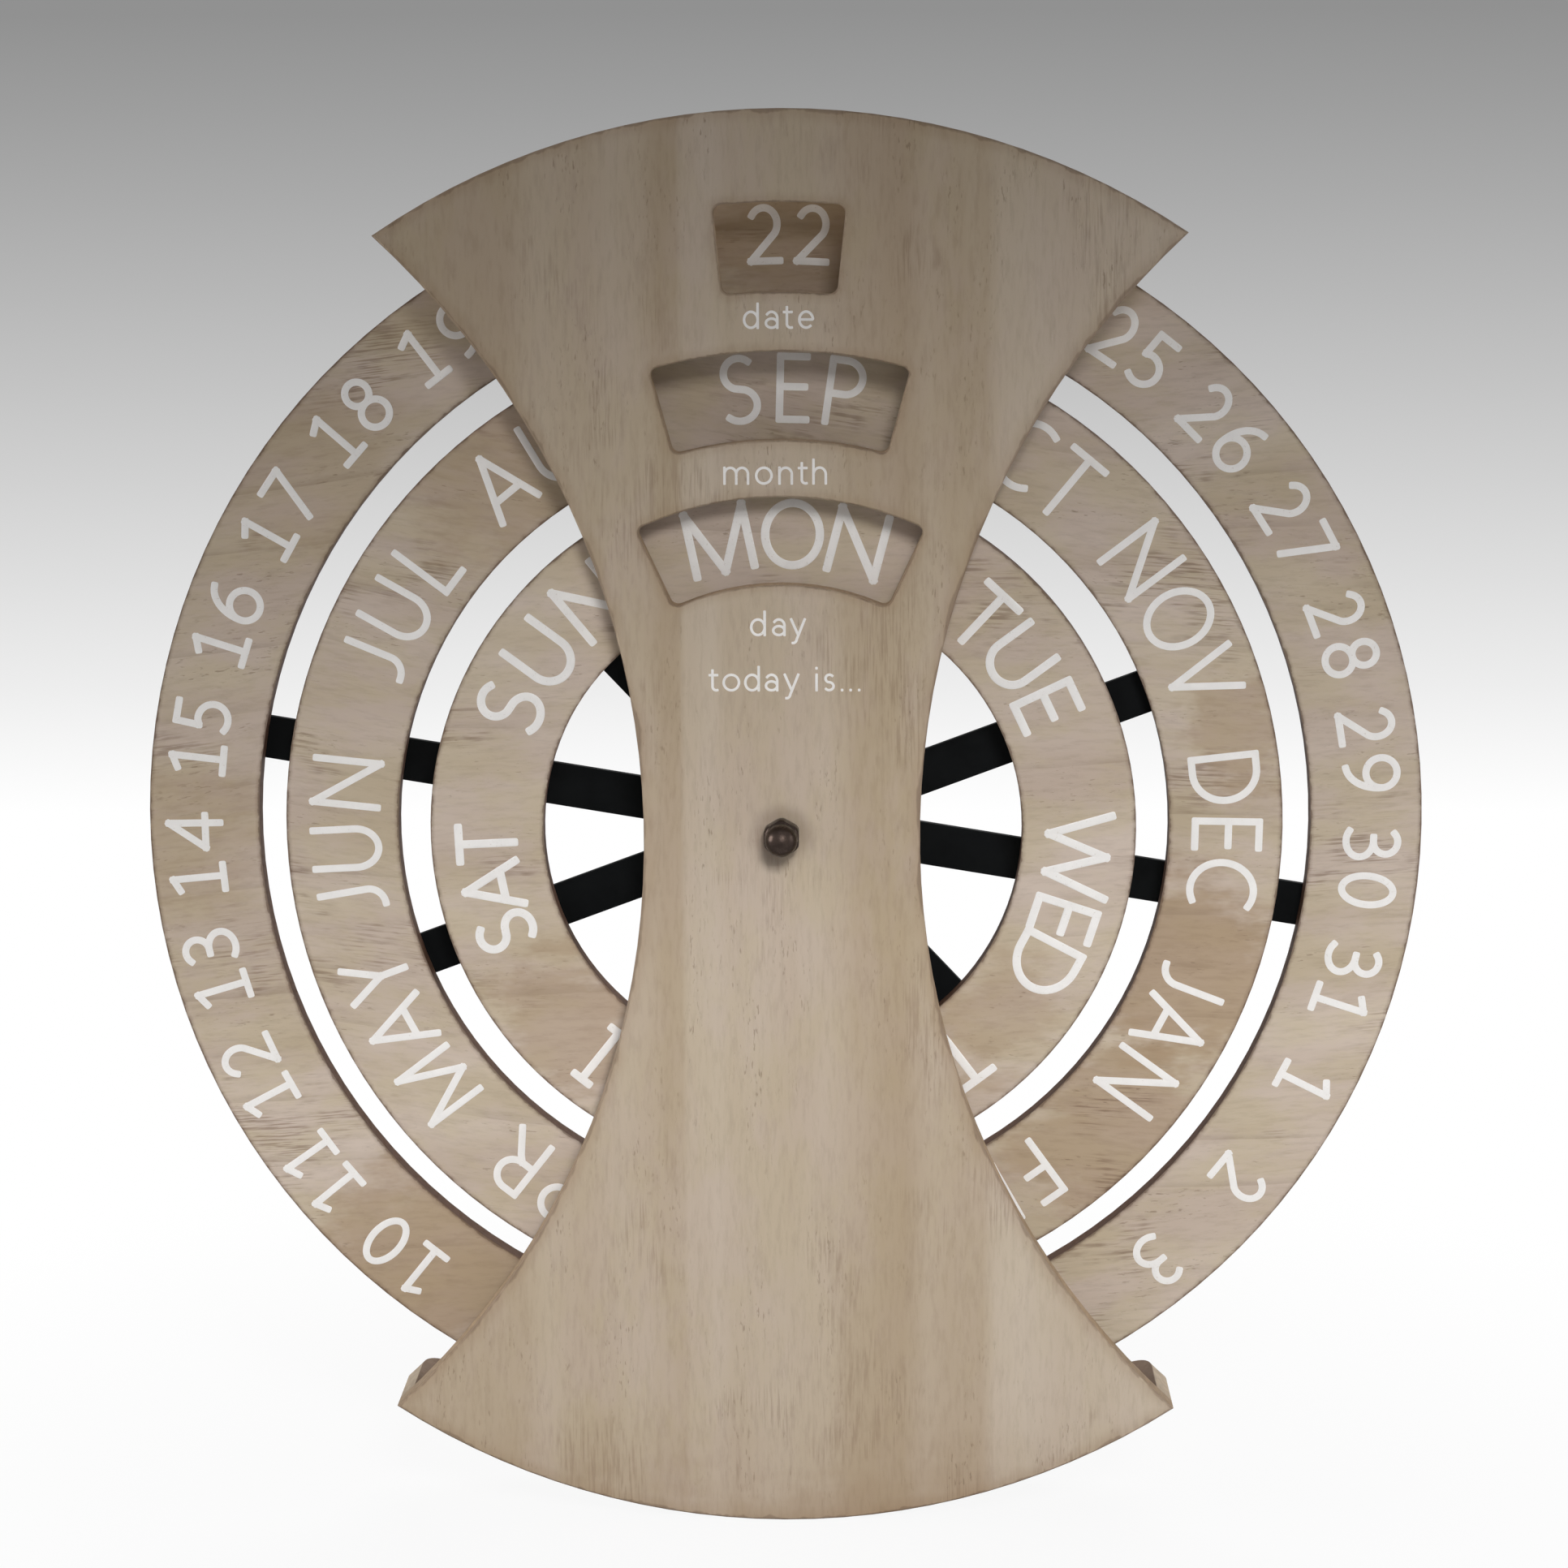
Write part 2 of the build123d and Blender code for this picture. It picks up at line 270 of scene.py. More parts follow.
# Each letter: width of its centre line and its strokes, for a centre line one unit high
CAPITALS = {
    "A": (0.73, (line(0, 0, 0.365, 1), line(0.365, 1, 0.73, 0), line(0.12, 0.31, 0.61, 0.31))),
    "B": (0.52, (STEM, joined(line(0, 1, 0.24, 1), arc(0.24, 0.77, 0.23, 0.23, 90, -90),
                              line(0.24, 0.54, 0, 0.54)),
                 joined(line(0.24, 0.54, 0.25, 0.54), arc(0.25, 0.27, 0.27, 0.27, 90, -90),
                        line(0.25, 0, 0, 0)))),
    "C": (0.645, (arc(0.44, 0.5, 0.44, 0.5, 62, 298),)),
    "D": (0.68, (STEM, joined(line(0, 1, 0.22, 1), arc(0.22, 0.5, 0.46, 0.5, 90, -90),
                              line(0.22, 0, 0, 0)))),
    "E": (0.41, (STEM, line(0, 1, 0.41, 1), line(0, 0.52, 0.38, 0.52), line(0, 0, 0.41, 0))),
    "F": (0.39, (STEM, line(0, 1, 0.39, 1), line(0, 0.49, 0.37, 0.49))),
    "G": (0.68, (joined(arc(0.45, 0.5, 0.45, 0.5, 60, 300), line(0.675, 0.067, 0.68, 0.43)),
                 line(0.43, 0.46, 0.68, 0.46))),
    "H": (0.70, (STEM, line(0.70, 0, 0.70, 1), line(0, 0.52, 0.70, 0.52))),
    "I": (0.25, (line(0.125, 0, 0.125, 1), line(0, 1, 0.25, 1), line(0, 0, 0.25, 0))),
    "J": (0.27, (joined(line(0.27, 1, 0.27, 0.27), arc(0, 0.27, 0.27, 0.26, 0, -90)),)),
    "L": (0.41, (STEM, line(0, 0, 0.41, 0))),
    "M": (0.87, (STEM, line(0, 1, 0.435, 0), line(0.435, 0, 0.87, 1), line(0.87, 1, 0.87, 0))),
    "N": (0.71, (STEM, line(0, 1, 0.71, 0), line(0.71, 0, 0.71, 1))),
    "O": (0.81, (oval(0.405, 0.5, 0.405, 0.5),)),
    "P": (0.49, (STEM, joined(line(0, 1, 0.22, 1), arc(0.22, 0.73, 0.27, 0.27, 90, -90),
                              line(0.22, 0.46, 0, 0.46)))),
    "R": (0.61, (STEM, joined(line(0, 1, 0.24, 1), arc(0.24, 0.74, 0.27, 0.26, 90, -90),
                              line(0.24, 0.48, 0, 0.48)),
                 joined(line(0.24, 0.48, 0.34, 0.38), line(0.34, 0.38, 0.61, 0)))),
    "S": (0.51, (joined(arc(0.265, 0.755, 0.235, 0.245, 48, 250), arc(0.245, 0.255, 0.265, 0.255,
                                                                      70, -132)),)),
    "T": (0.57, (line(0, 1, 0.57, 1), line(0.285, 1, 0.285, 0))),
    "U": (0.625, (joined(line(0, 1, 0, 0.36), arc(0.3125, 0.36, 0.3125, 0.36, 180, 360),
                         line(0.625, 0.36, 0.625, 1)),)),
    "V": (0.67, (line(0, 1, 0.335, 0), line(0.335, 0, 0.67, 1))),
    "W": (1.14, (line(0, 1, 0.31, 0), line(0.31, 0, 0.57, 0.97), line(0.57, 0.97, 0.83, 0),
                 line(0.83, 0, 1.14, 1))),
    "Y": (0.57, (line(0, 1, 0.285, 0.42), line(0.57, 1, 0.285, 0.42),
                 line(0.285, 0.42, 0.285, 0))),
}

DIGITS = {
    "0": (0.58, (oval(0.29, 0.5, 0.29, 0.5),)),
    "1": (0.49, (line(0.27, 0, 0.27, 1), line(0.27, 1, 0.03, 0.88), line(0, 0, 0.49, 0))),
    "2": (0.555, (joined(arc(0.262, 0.70, 0.262, 0.30, 148, -38), line(0.468, 0.515, 0, 0)),
                  line(0, 0, 0.555, 0))),
    "3": (0.54, (joined(arc(0.225, 0.765, 0.245, 0.235, 135, -85), line(0.246, 0.531, 0.14, 0.531)),
                 joined(line(0.14, 0.531, 0.22, 0.531), arc(0.22, 0.266, 0.32, 0.266, 88, -128)))),
    "4": (0.65, (line(0.50, 1, 0, 0.29), line(0, 0.29, 0.65, 0.29), line(0.50, 0, 0.50, 1))),
    "5": (0.50, (line(0.06, 1, 0.46, 1), line(0.06, 1, 0.045, 0.55),
                 joined(line(0.045, 0.55, 0.15, 0.585), arc(0.19, 0.295, 0.31, 0.295, 92, -125)))),
    "6": (0.60, (oval(0.30, 0.30, 0.30, 0.30), arc(0.50, 0.32, 0.50, 0.665, 182, 96))),
    "7": (0.54, (line(0, 1, 0.54, 1), line(0.54, 1, 0.155, 0))),
    "8": (0.56, (oval(0.28, 0.765, 0.235, 0.235), oval(0.28, 0.265, 0.28, 0.265))),
    "9": (0.60, (oval(0.30, 0.70, 0.30, 0.30), arc(0.10, 0.68, 0.50, 0.665, 2, -84))),
}

SMALL_LETTERS = {
    "a": (0.76, (joined(arc(0.36, 0.60, 0.36, 0.40, 142, 0), line(0.72, 0.60, 0.72, 0)),
                 oval(0.36, 0.285, 0.36, 0.285))),
    "d": (0.86, (oval(0.43, 0.5, 0.43, 0.5), line(0.86, 0, 0.86, 1.5))),
    "e": (0.86, (joined(line(0, 0.51, 0.86, 0.51), arc(0.43, 0.5, 0.43, 0.5, 2, 308)),)),
    "h": (0.78, (line(0, 0, 0, 1.5), ARCH)),
    "i": (0, (STEM, line(0, 1.42, 0, 1.43))),
    "m": (1.50, (STEM, joined(arc(0.375, 0.60, 0.375, 0.40, 180, 0), line(0.75, 0.60, 0.75, 0)),
                 joined(arc(1.125, 0.60, 0.375, 0.40, 180, 0), line(1.50, 0.60, 1.50, 0)))),
    "n": (0.78, (STEM, ARCH)),
    "o": (0.98, (oval(0.49, 0.5, 0.49, 0.5),)),
    "s": (0.54, (joined(arc(0.28, 0.755, 0.25, 0.245, 45, 250), arc(0.26, 0.255, 0.28, 0.255,
                                                                    70, -135)),)),
    "t": (0.48, (joined(line(0.17, 1.28, 0.17, 0.24), arc(0.41, 0.24, 0.24, 0.24, 180, 285)),
                 line(0, 0.98, 0.46, 0.98))),
    "y": (0.86, (line(0, 1, 0.43, 0.02), joined(line(0.86, 1, 0.34, -0.3),
                                                arc(0.12, -0.2, 0.24, 0.32, -20, -95)))),
    ".": (0, (line(0, 0, 0, 0.01),)),
}

# Word, gaps between its letters, shift along the ring (clockwise) and outwards, in mm, and
# its height and breadth against the nominal ones
MONTH_WORDS = (
    ("JAN", (2.95, 3.3), -0.7, 0.05, 1.01, 0.94), ("FEB", (4.1, 3.0), 1.6, -0.7, 0.95, 1.0),
    ("MAR", (3.0, 3.0), 1.0, -0.7, 0.96, 0.98), ("APR", (2.3, 3.25), 1.6, -0.55, 0.955, 0.965),
    ("MAY", (3.1, 1.6), 0.95, -0.3, 0.96, 1.03), ("JUN", (4.05, 4.2), -1.8, -0.45, 1.0, 0.97),
    ("JUL", (4.15, 4.2), 0.45, -0.2, 0.975, 1.03), ("AUG", (2.95, 3.2), -1.7, 0.3, 0.97, 1.0),
    ("SEP", (3.9, 3.6), 2.55, -0.75, 0.955, 1.03), ("OCT", (2.4, 2.0), 1.8, 0.4, 1.01, 1.04),
    ("NOV", (2.8, 1.5), 2.6, 0.85, 1.01, 0.99), ("DEC", (3.2, 1.8), 0.85, 0.55, 0.985, 1.01),
)
DAY_WORDS = (
    ("MON", (1.9, 1.4), 1.1, 0.2, 0.98, 1.08), ("TUE", (0.75, 2.8), 2.35, -1.05, 0.95, 1.19),
    ("WED", (0.25, 0.5), 2.3, -0.05, 0.965, 1.22), ("THU", (1.2, 2.2), 0.4, -0.9, 0.95, 1.15),
    ("FRI", (1.4, 0.4), 4.7, 0.25, 0.965, 1.13), ("SAT", (0.25, -0.7), 1.85, 0.3, 0.89, 1.09),
    ("SUN", (3.2, 4.0), -0.35, 0.35, 0.985, 1.12),
)
# Caption, gaps between its letters, left edge, baseline above the hub, in mm
CAPTIONS = (
    ("date", (1.25, 0.8, 1.1), -8.3, 116.7),
    ("month", (1.25, 1.2, 1.05, 0.95), -13.0, 81.4),
    ("day", (1.35, 0.8), -7.1, 46.6),
    ("today is...", (0.85, 0.85, 1.05, 1.0, 0, 3.6, 1.35, 1.35, 1.35, 1.35), -16.7, 33.8),
)


def ribbon(path, half_width, height, sink):
    """One stroke of print.  A path in the plane is carried along as a low dome: across it, the
    offset is half the width times the sine of an angle and the height follows the root of the
    cosine, so it is flat in the middle and round at the edges.  Each open end narrows to one
    point as a squared-off oval, whose fourth powers add up to one.  A closed path joins up."""
    closed = np.allclose(path[0], path[-1])
    if closed:
        path = path[:-1]
        ahead = np.roll(path, -1, axis=0) - np.roll(path, 1, axis=0)
    else:
        ahead = np.gradient(path, axis=0)
    ahead /= np.linalg.norm(ahead, axis=1)[:, None]
    reach, swell = np.full(len(path), half_width), np.ones(len(path))
    if not closed:
        beyond = np.array([0.97, 0.9, 0.74, 0.45])
        narrow = (1 - beyond ** 4) ** 0.25
        first = path[0] - ahead[0] * half_width * beyond[:, None]
        last = path[-1] + ahead[-1] * half_width * beyond[::-1, None]
        tips = np.array([path[0] - ahead[0] * half_width, path[-1] + ahead[-1] * half_width])
        path = np.concatenate([first, path, last])
        ahead = np.concatenate([np.repeat(ahead[:1], 4, 0), ahead, np.repeat(ahead[-1:], 4, 0)])
        reach = np.concatenate([half_width * narrow, reach, half_width * narrow[::-1]])
        swell = np.concatenate([np.sqrt(narrow), swell, np.sqrt(narrow[::-1])])
    left = np.stack([-ahead[:, 1], ahead[:, 0]], axis=-1)
    across = np.radians(np.array([90, 68, 40, 0, -40, -68, -90], float))
    dome = np.sqrt(np.clip(np.cos(across), 0, 1))
    flat = path[:, None] + left[:, None] * (reach[:, None] * np.sin(across))[..., None]
    lift = (height + sink) * swell[:, None] * dome - sink
    points = np.concatenate([flat, lift[..., None]], axis=-1).reshape(-1, 3)
    if closed:
        return points, strip_faces(len(path), len(across), True)
    return capped(points, len(across), np.column_stack([tips, np.full(2, -sink)]))


def print_word(word, glyphs, gaps, height, stroke, ink, widen=1.0):
    """A word as letters side by side: list of (middle of the letter, its strokes as ribbons about
    that middle), with x to the right from the word's left edge and y up from the middle line."""
    unit = height - stroke
    letters, edge = [], 0.0
    for index, letter in enumerate(word):
        if letter != " ":
            width, strokes = glyphs[letter]
            width *= unit * widen
            ribbons = []
            for number, path in enumerate(strokes):
                placed = path * (unit * widen, unit) - (width / 2, unit / 2)
                lift = ink.ink_height + number * 0.003 * MM
                ribbons.append(ribbon(placed, stroke / 2, lift, ink.ink_sink))
            letters.append((edge + stroke / 2 + width / 2, gather(ribbons)))
            edge += width + stroke
        if index < len(gaps):
            edge += gaps[index] * MM
    return letters, edge


def on_ring(letters, total, middle, angle, along, out, front):
    """Letters set round the hub.  Each letter stays straight, and is turned so that up points
    away from the hub: its place is the hub plus the radius along that direction."""
    placed = []
    for centre, (points, faces) in letters:
        turn = angle + (centre - total / 2 + along) / middle
        outward = np.array([np.sin(turn), np.cos(turn)])
        clockwise = np.array([np.cos(turn), -np.sin(turn)])
        plane = (np.array(HUB) + points[:, :1] * clockwise
                 + (middle + out + points[:, 1:2]) * outward)
        placed.append((np.stack([plane[:, 0], front - points[:, 2], plane[:, 1]], axis=-1), faces))
    return placed


def on_plate(letters, left, baseline, height, front):
    """Letters set upright in a straight line, with the bottom of the small letters at a height."""
    return [(np.stack([left + centre + points[:, 0], front - points[:, 2],
                       baseline + height / 2 + points[:, 1]], axis=-1), faces)
            for centre, (points, faces) in letters]


# ---- Nuts, bolt and screws ----


def turned_hexagon(rows, across_flats, closed, sides=96):
    """A nut or bolt head.  Each row is (depth, greatest radius); the radius at an angle is the
    lesser of that and the hexagon's own, half its width across flats over the cosine of the angle
    from the nearest flat.  A closed profile joins its last row to its first, as round a bore;
    an open one starts and ends in one point on the axis."""
    depth, limit = np.array(rows, float).T
    angle = np.arange(sides) * 2 * np.pi / sides
    from_flat = (angle + np.pi / 6) % (np.pi / 3) - np.pi / 6
    hexagon = across_flats / 2 / np.cos(from_flat)
    inner = slice(None) if closed else slice(1, -1)
    radius = np.minimum(limit[inner, None], hexagon[None, :])
    points = np.stack([HUB[0] + radius * np.cos(angle), np.repeat(depth[inner, None], sides, 1),
                       HUB[1] + radius * np.sin(angle)], axis=-1).reshape(-1, 3)
    if closed:
        return points, strip_faces(len(radius), sides, True)
    return capped(points, sides, [[HUB[0], end, HUB[1]] for end in (depth[0], depth[-1])])


def pan_head(head_radius, head_height, turn, sides=64):
    """A pan-head screw with a cross recess, standing on a plane.  The head's height falls off as
    the fourth power of the radius.  The recess has the outline of a cross: in each direction, the
    lesser of its arm's length and half an arm's width over the sine of the angle from the arm."""
    arm_length, half_arm, least = 0.56 * head_radius, 0.13 * head_radius, 0.2 * head_radius
    angle = np.arange(sides) * 2 * np.pi / sides
    from_arm = (angle + np.pi / 4) % (np.pi / 2) - np.pi / 4
    cross = np.minimum(arm_length, half_arm / np.maximum(np.abs(np.sin(from_arm)), 0.05))
    cross = np.maximum(cross, least)

    # Radius and height of each ring of points, from the recess out, and None on the dome
    rings = [(cross * 0.55, 0.35), (cross * 0.86, 0.35), (cross, None), (cross * 1.04, None)]
    rings += [(np.maximum(share * head_radius, cross * 1.05), None) for share in (0.66, 0.8, 0.92)]
    rings += [(np.full(sides, 0.985 * head_radius), None), (np.full(sides, head_radius), 0.38),
              (np.full(sides, head_radius), -0.05)]
    radius = np.array([ring[0] for ring in rings])
    height = head_height * np.array(
        [1 - 0.45 * (reach / head_radius) ** 4 if share is None else np.full(sides, share)
         for reach, share in rings])
    points = np.stack([radius * np.cos(angle + turn), radius * np.sin(angle + turn), height],
                      axis=-1).reshape(-1, 3)
    points, faces = capped(points, sides, [[0, 0, 0.3 * head_height], [0, 0, -0.05 * head_height]])
    return points, [face[::-1] for face in faces]


def rear_screw(metals, turn, reach, angle, depth):
    """A screw at a distance and an angle from the hub, on a face that looks to the rear: what was
    its right lies to the left, and its height goes into the depth."""
    points, faces = pan_head(metals.head_radius, metals.head_height, turn)
    points = np.stack([HUB[0] + reach * np.cos(angle) - points[:, 0], depth + points[:, 2],
                       HUB[1] + reach * np.sin(angle) + points[:, 1]], axis=-1)
    return points, faces


# ---- Shader helpers and groups ----


def darker(tint, share):
    return tuple(share * part for part in tint)


class Wiring:
    """Adds nodes to one tree.  An input is a plain value or another node's output."""

    def __init__(self, tree):
        self.tree = tree
        self.tree.nodes.clear()

    def feed(self, node, inputs):
        for key, value in inputs.items():
            if isinstance(value, bpy.types.NodeSocket):
                self.tree.links.new(value, node.inputs[key])
            else:
                node.inputs[key].default_value = value

    def add(self, kind, inputs=None, **settings):
        node = self.tree.nodes.new(kind)
        node.location = (190 * (len(self.tree.nodes) % 12), -230 * (len(self.tree.nodes) // 12))
        for name, value in settings.items():
            setattr(node, name, value)
        self.feed(node, inputs or {})
        return node

    def group(self, name, inputs):
        return self.add("ShaderNodeGroup", inputs, node_tree=bpy.data.node_groups[name]).outputs

    def math(self, operation, *values, clamp=False):
        inputs = dict(enumerate(values))
        return self.add("ShaderNodeMath", inputs, operation=operation, use_clamp=clamp).outputs[0]

    plus = partialmethod(math, "ADD")
    less = partialmethod(math, "SUBTRACT")
    times = partialmethod(math, "MULTIPLY")
    least = partialmethod(math, "MINIMUM")
    most = partialmethod(math, "MAXIMUM")
    absolute = partialmethod(math, "ABSOLUTE")

    def split(self, vector):
        return self.add("ShaderNodeSeparateXYZ", {0: vector}).outputs

    def vector(self, *parts):
        return self.add("ShaderNodeCombineXYZ", dict(enumerate(parts))).outputs[0]

    def vector_math(self, operation, inputs):
        return self.add("ShaderNodeVectorMath", inputs, operation=operation).outputs

    def scaled(self, vector, scale):
        return self.vector_math("SCALE", {0: vector, "Scale": scale})[0]

    def length(self, vector):
        return self.vector_math("LENGTH", {0: vector})[1]

    def distance(self, first, second):
        return self.vector_math("DISTANCE", {0: first, 1: second})[1]

    def noise(self, vector, pitch, detail=2.0, roughness=0.5):
        """Noise with so many cells to a metre, alike in all directions or one number for each."""
        pitches = pitch if isinstance(pitch, tuple) else (pitch,) * 3
        wide = self.vector_math("MULTIPLY", {0: vector, 1: pitches})[0]
        inputs = {"Vector": wide, "Scale": 1.0, "Detail": detail, "Roughness": roughness}
        return self.add("ShaderNodeTexNoise", inputs).outputs["Fac"]

    def ramp(self, value, low, high, start=0.0, end=1.0):
        inputs = {"Value": value, "From Min": low, "From Max": high, "To Min": start,
                  "To Max": end}
        return self.add("ShaderNodeMapRange", inputs, interpolation_type="SMOOTHSTEP").outputs[0]

    def mask(self, vector, pitch, low, high, detail=2.0, roughness=0.5, start=0.0, end=1.0):
        """Noise that goes softly from start to end between two of its levels."""
        return self.ramp(self.noise(vector, pitch, detail, roughness), low, high, start, end)

    def blend(self, share, first, second):
        tints = [tint if isinstance(tint, bpy.types.NodeSocket) else (*tint, 1.0)
                 for tint in (first, second)]
        inputs = {0: share, 6: tints[0], 7: tints[1]}
        return self.add("ShaderNodeMix", inputs, data_type="RGBA").outputs[2]

    def shades(self, value, low, high, stops):
        """A colour by a value.  Each stop is its share of the way from low to high, and a colour."""
        share = self.add("ShaderNodeMapRange", {"Value": value, "From Min": low, "From Max": high})
        node = self.add("ShaderNodeValToRGB", {"Fac": share.outputs[0]})
        elements = node.color_ramp.elements
        elements[0].position, elements[-1].position = stops[0][0], stops[-1][0]
        for place, _ in stops[1:-1]:
            elements.new(place)
        for element, (_, tint) in zip(elements, stops):
            element.color = (*tint, 1.0)
        return node.outputs[0]

    def bump(self, height, distance, strength):
        inputs = {"Height": height, "Distance": distance, "Strength": strength}
        return self.add("ShaderNodeBump", inputs).outputs[0]

    def seen(self):
        """One for what is seen straight, in a shine or through glass, nought for light."""
        ray = self.add("ShaderNodeLightPath").outputs
        return self.most(ray["Is Camera Ray"],
                         self.most(ray["Is Glossy Ray"], ray["Is Transmission Ray"]))


def new_group(name, inputs, *outputs):
    """An empty shader group: its wiring, its inputs and its output node.  An input is a value
    with a default, or a vector where that is None.  The outputs are values."""
    tree = bpy.data.node_groups.new(name, "ShaderNodeTree")
    for socket, default in inputs.items():
        kind = "NodeSocketVector" if default is None else "NodeSocketFloat"
        made = tree.interface.new_socket(socket, in_out="INPUT", socket_type=kind)
        if default is not None:
            made.default_value = default
    for socket in outputs:
        tree.interface.new_socket(socket, in_out="OUTPUT", socket_type="NodeSocketFloat")
    w = Wiring(tree)
    return w, w.add("NodeGroupInput").outputs, w.add("NodeGroupOutput")


def group_long_grain():
    """Wood figure along the third coordinate.  Band is broad and soft, Cloud is a hue that drifts
    between fibres, Growth is a thin line at each yearly ring that fades on one side, Line is
    fine and long, Pore marks short dark dashes that gather in patches, and Fibre marks longer
    streaks that gather in a few places."""
    w, given, result = new_group(
        "long_grain", {"Vector": None, "Waver": 0.004, "Waver Pitch": 8.0, "Band Pitch": 55.0,
                       "Growth Rings": 60.0}, "Band", "Cloud", "Growth", "Line", "Pore", "Fibre")
    across, inward, along = w.split(given["Vector"])
    drift = w.noise(w.scaled(given["Vector"], given["Waver Pitch"]), (1.0, 0.3, 0.45), 1.5)
    across = w.plus(across, w.times(w.less(drift, 0.5), given["Waver"]))
    swayed = w.vector(across, inward, along)
    wide = w.scaled(swayed, given["Band Pitch"])
    bend = w.times(w.noise(swayed, (22.0, 9.0, 5.0)), 1.6)
    year = w.math("FRACT", w.plus(w.times(across, given["Growth Rings"]), bend))
    broken = w.mask(swayed, (60.0, 20.0, 16.0), 0.46, 0.66, 3.0, 0.6)
    pore = w.mask(swayed, (2100.0, 800.0, 420.0), 0.62, 0.72)
    patch = w.mask(swayed, (120.0, 60.0, 34.0), 0.46, 0.68)
    streak = w.mask(swayed, (1700.0, 700.0, 80.0), 0.48, 0.60, 3.0, 0.6)
    place = w.mask(swayed, (44.0, 20.0, 26.0), 0.53, 0.66, 4.0, 0.65)
    w.feed(result, {
        "Band": w.mask(wide, (1.0, 0.25, 0.16), 0.32, 0.68, 4.0, 0.62),
        "Cloud": w.mask(swayed, (80.0, 40.0, 36.0), 0.38, 0.62, 4.0, 0.62),
        "Growth": w.times(w.ramp(year, 0.0, 0.20, 1.0, 0.0), broken),
        "Line": w.mask(swayed, (800.0, 400.0, 150.0), 0.42, 0.72, 4.0, 0.64),
        "Pore": w.times(pore, patch),
        "Fibre": w.times(streak, place)})


def group_cut_wall():
    """One on the walls of a flat piece that faces front and back, nought on its faces."""
    w, given, result = new_group("cut_wall", {"Normal": None}, "Wall")
    facing = w.absolute(w.split(given["Normal"])[1])
    w.feed(result, {"Wall": w.ramp(facing, 0.35, 0.62, 1.0, 0.0)})


def round_hub(w, vector):
    """A place across and up from the hub, and its distance from the hub's axis."""
    parts = w.split(vector)
    flat = w.vector(parts[0], w.less(parts[2], HUB[1]))
    return flat, w.length(flat)


def ragged(w, distance, reach, noise, spread=1.0):
    """A distance as a share of the reach, moved to and fro by noise about its middle."""
    return w.plus(w.math("DIVIDE", distance, reach), w.times(w.less(noise, 0.5), spread))


def group_ring_rim():
    """Darkening near the inner and outer edge of a ring round the hub, with a ragged limit."""
    w, given, result = new_group(
        "ring_rim", {"Vector": None, "Inner": 0.1, "Outer": 0.12, "Reach": 0.002}, "Rim")
    radius = round_hub(w, given["Vector"])[1]
    near = w.least(w.less(radius, given["Inner"]), w.less(given["Outer"], radius))
    share = ragged(w, near, given["Reach"], w.noise(given["Vector"], 420.0, 3.0, 0.6))
    w.feed(result, {"Rim": w.ramp(share, 0.0, 1.0, 1.0, 0.0)})


def group_outline_rim():
    """Darkening near the hourglass outline of the plate: the least of the distances inside the
    disc and outside the two side circles."""
    w, given, result = new_group("outline_rim", {"Vector": None, "Reach": 0.003}, "Rim")
    flat, radius = round_hub(w, given["Vector"])
    near = w.less(PLATE_RADIUS, radius)
    for side in (-1, 1):
        away = w.less(w.distance(flat, (side * SIDE_ARC_CENTRE, 0, 0)), SIDE_ARC_RADIUS)
        near = w.least(near, away)
    noise = w.noise(given["Vector"], (160.0, 160.0, 60.0), 3.0, 0.6)
    share = ragged(w, near, given["Reach"], noise)
    w.feed(result, {"Rim": w.ramp(share, 0.0, 1.0, 1.0, 0.0)})


def group_window_rim():
    """Browning round a window.  The window is a sector of a ring with round corners, so the
    distance outside it is that to a sector smaller by the corners' radius all round, less that
    radius: the root of the squares of how far a point lies beyond it along the radius and along
    the arc."""
    w, given, result = new_group(
        "window_rim", {"Vector": None, "Inner": 0.1, "Outer": 0.12, "Half Angle": 0.1,
                       "Reach": 0.003}, "Rim")
    flat, radius = round_hub(w, given["Vector"])
    across, up, _ = w.split(flat)
    angle = w.absolute(w.math("ARCTAN2", across, up))
    beyond = w.most(w.less(w.plus(given["Inner"], WINDOW_CORNER), radius),
                    w.less(radius, w.less(given["Outer"], WINDOW_CORNER)))
    along = w.plus(w.times(w.less(angle, given["Half Angle"]), radius), WINDOW_CORNER)
    gap = w.vector(w.most(beyond, 0.0), w.most(along, 0.0))
    away = w.less(w.length(gap), WINDOW_CORNER)
    share = ragged(w, away, given["Reach"], w.noise(given["Vector"], 300.0, 5.0, 0.7), 0.45)
    w.feed(result, {"Rim": w.math("SUBTRACT", 1.0, share, clamp=True)})


# ---- Materials ----


def new_material(name):
    """A material, its wiring, its Principled shader, its output and its coordinates."""
    material = bpy.data.materials.new(name)
    material.use_nodes = True
    w = Wiring(material.node_tree)
    shader = w.add("ShaderNodeBsdfPrincipled")
    output = w.add("ShaderNodeOutputMaterial", {"Surface": shader.outputs[0]})
    return material, w, shader, output, w.add("ShaderNodeTexCoord").outputs


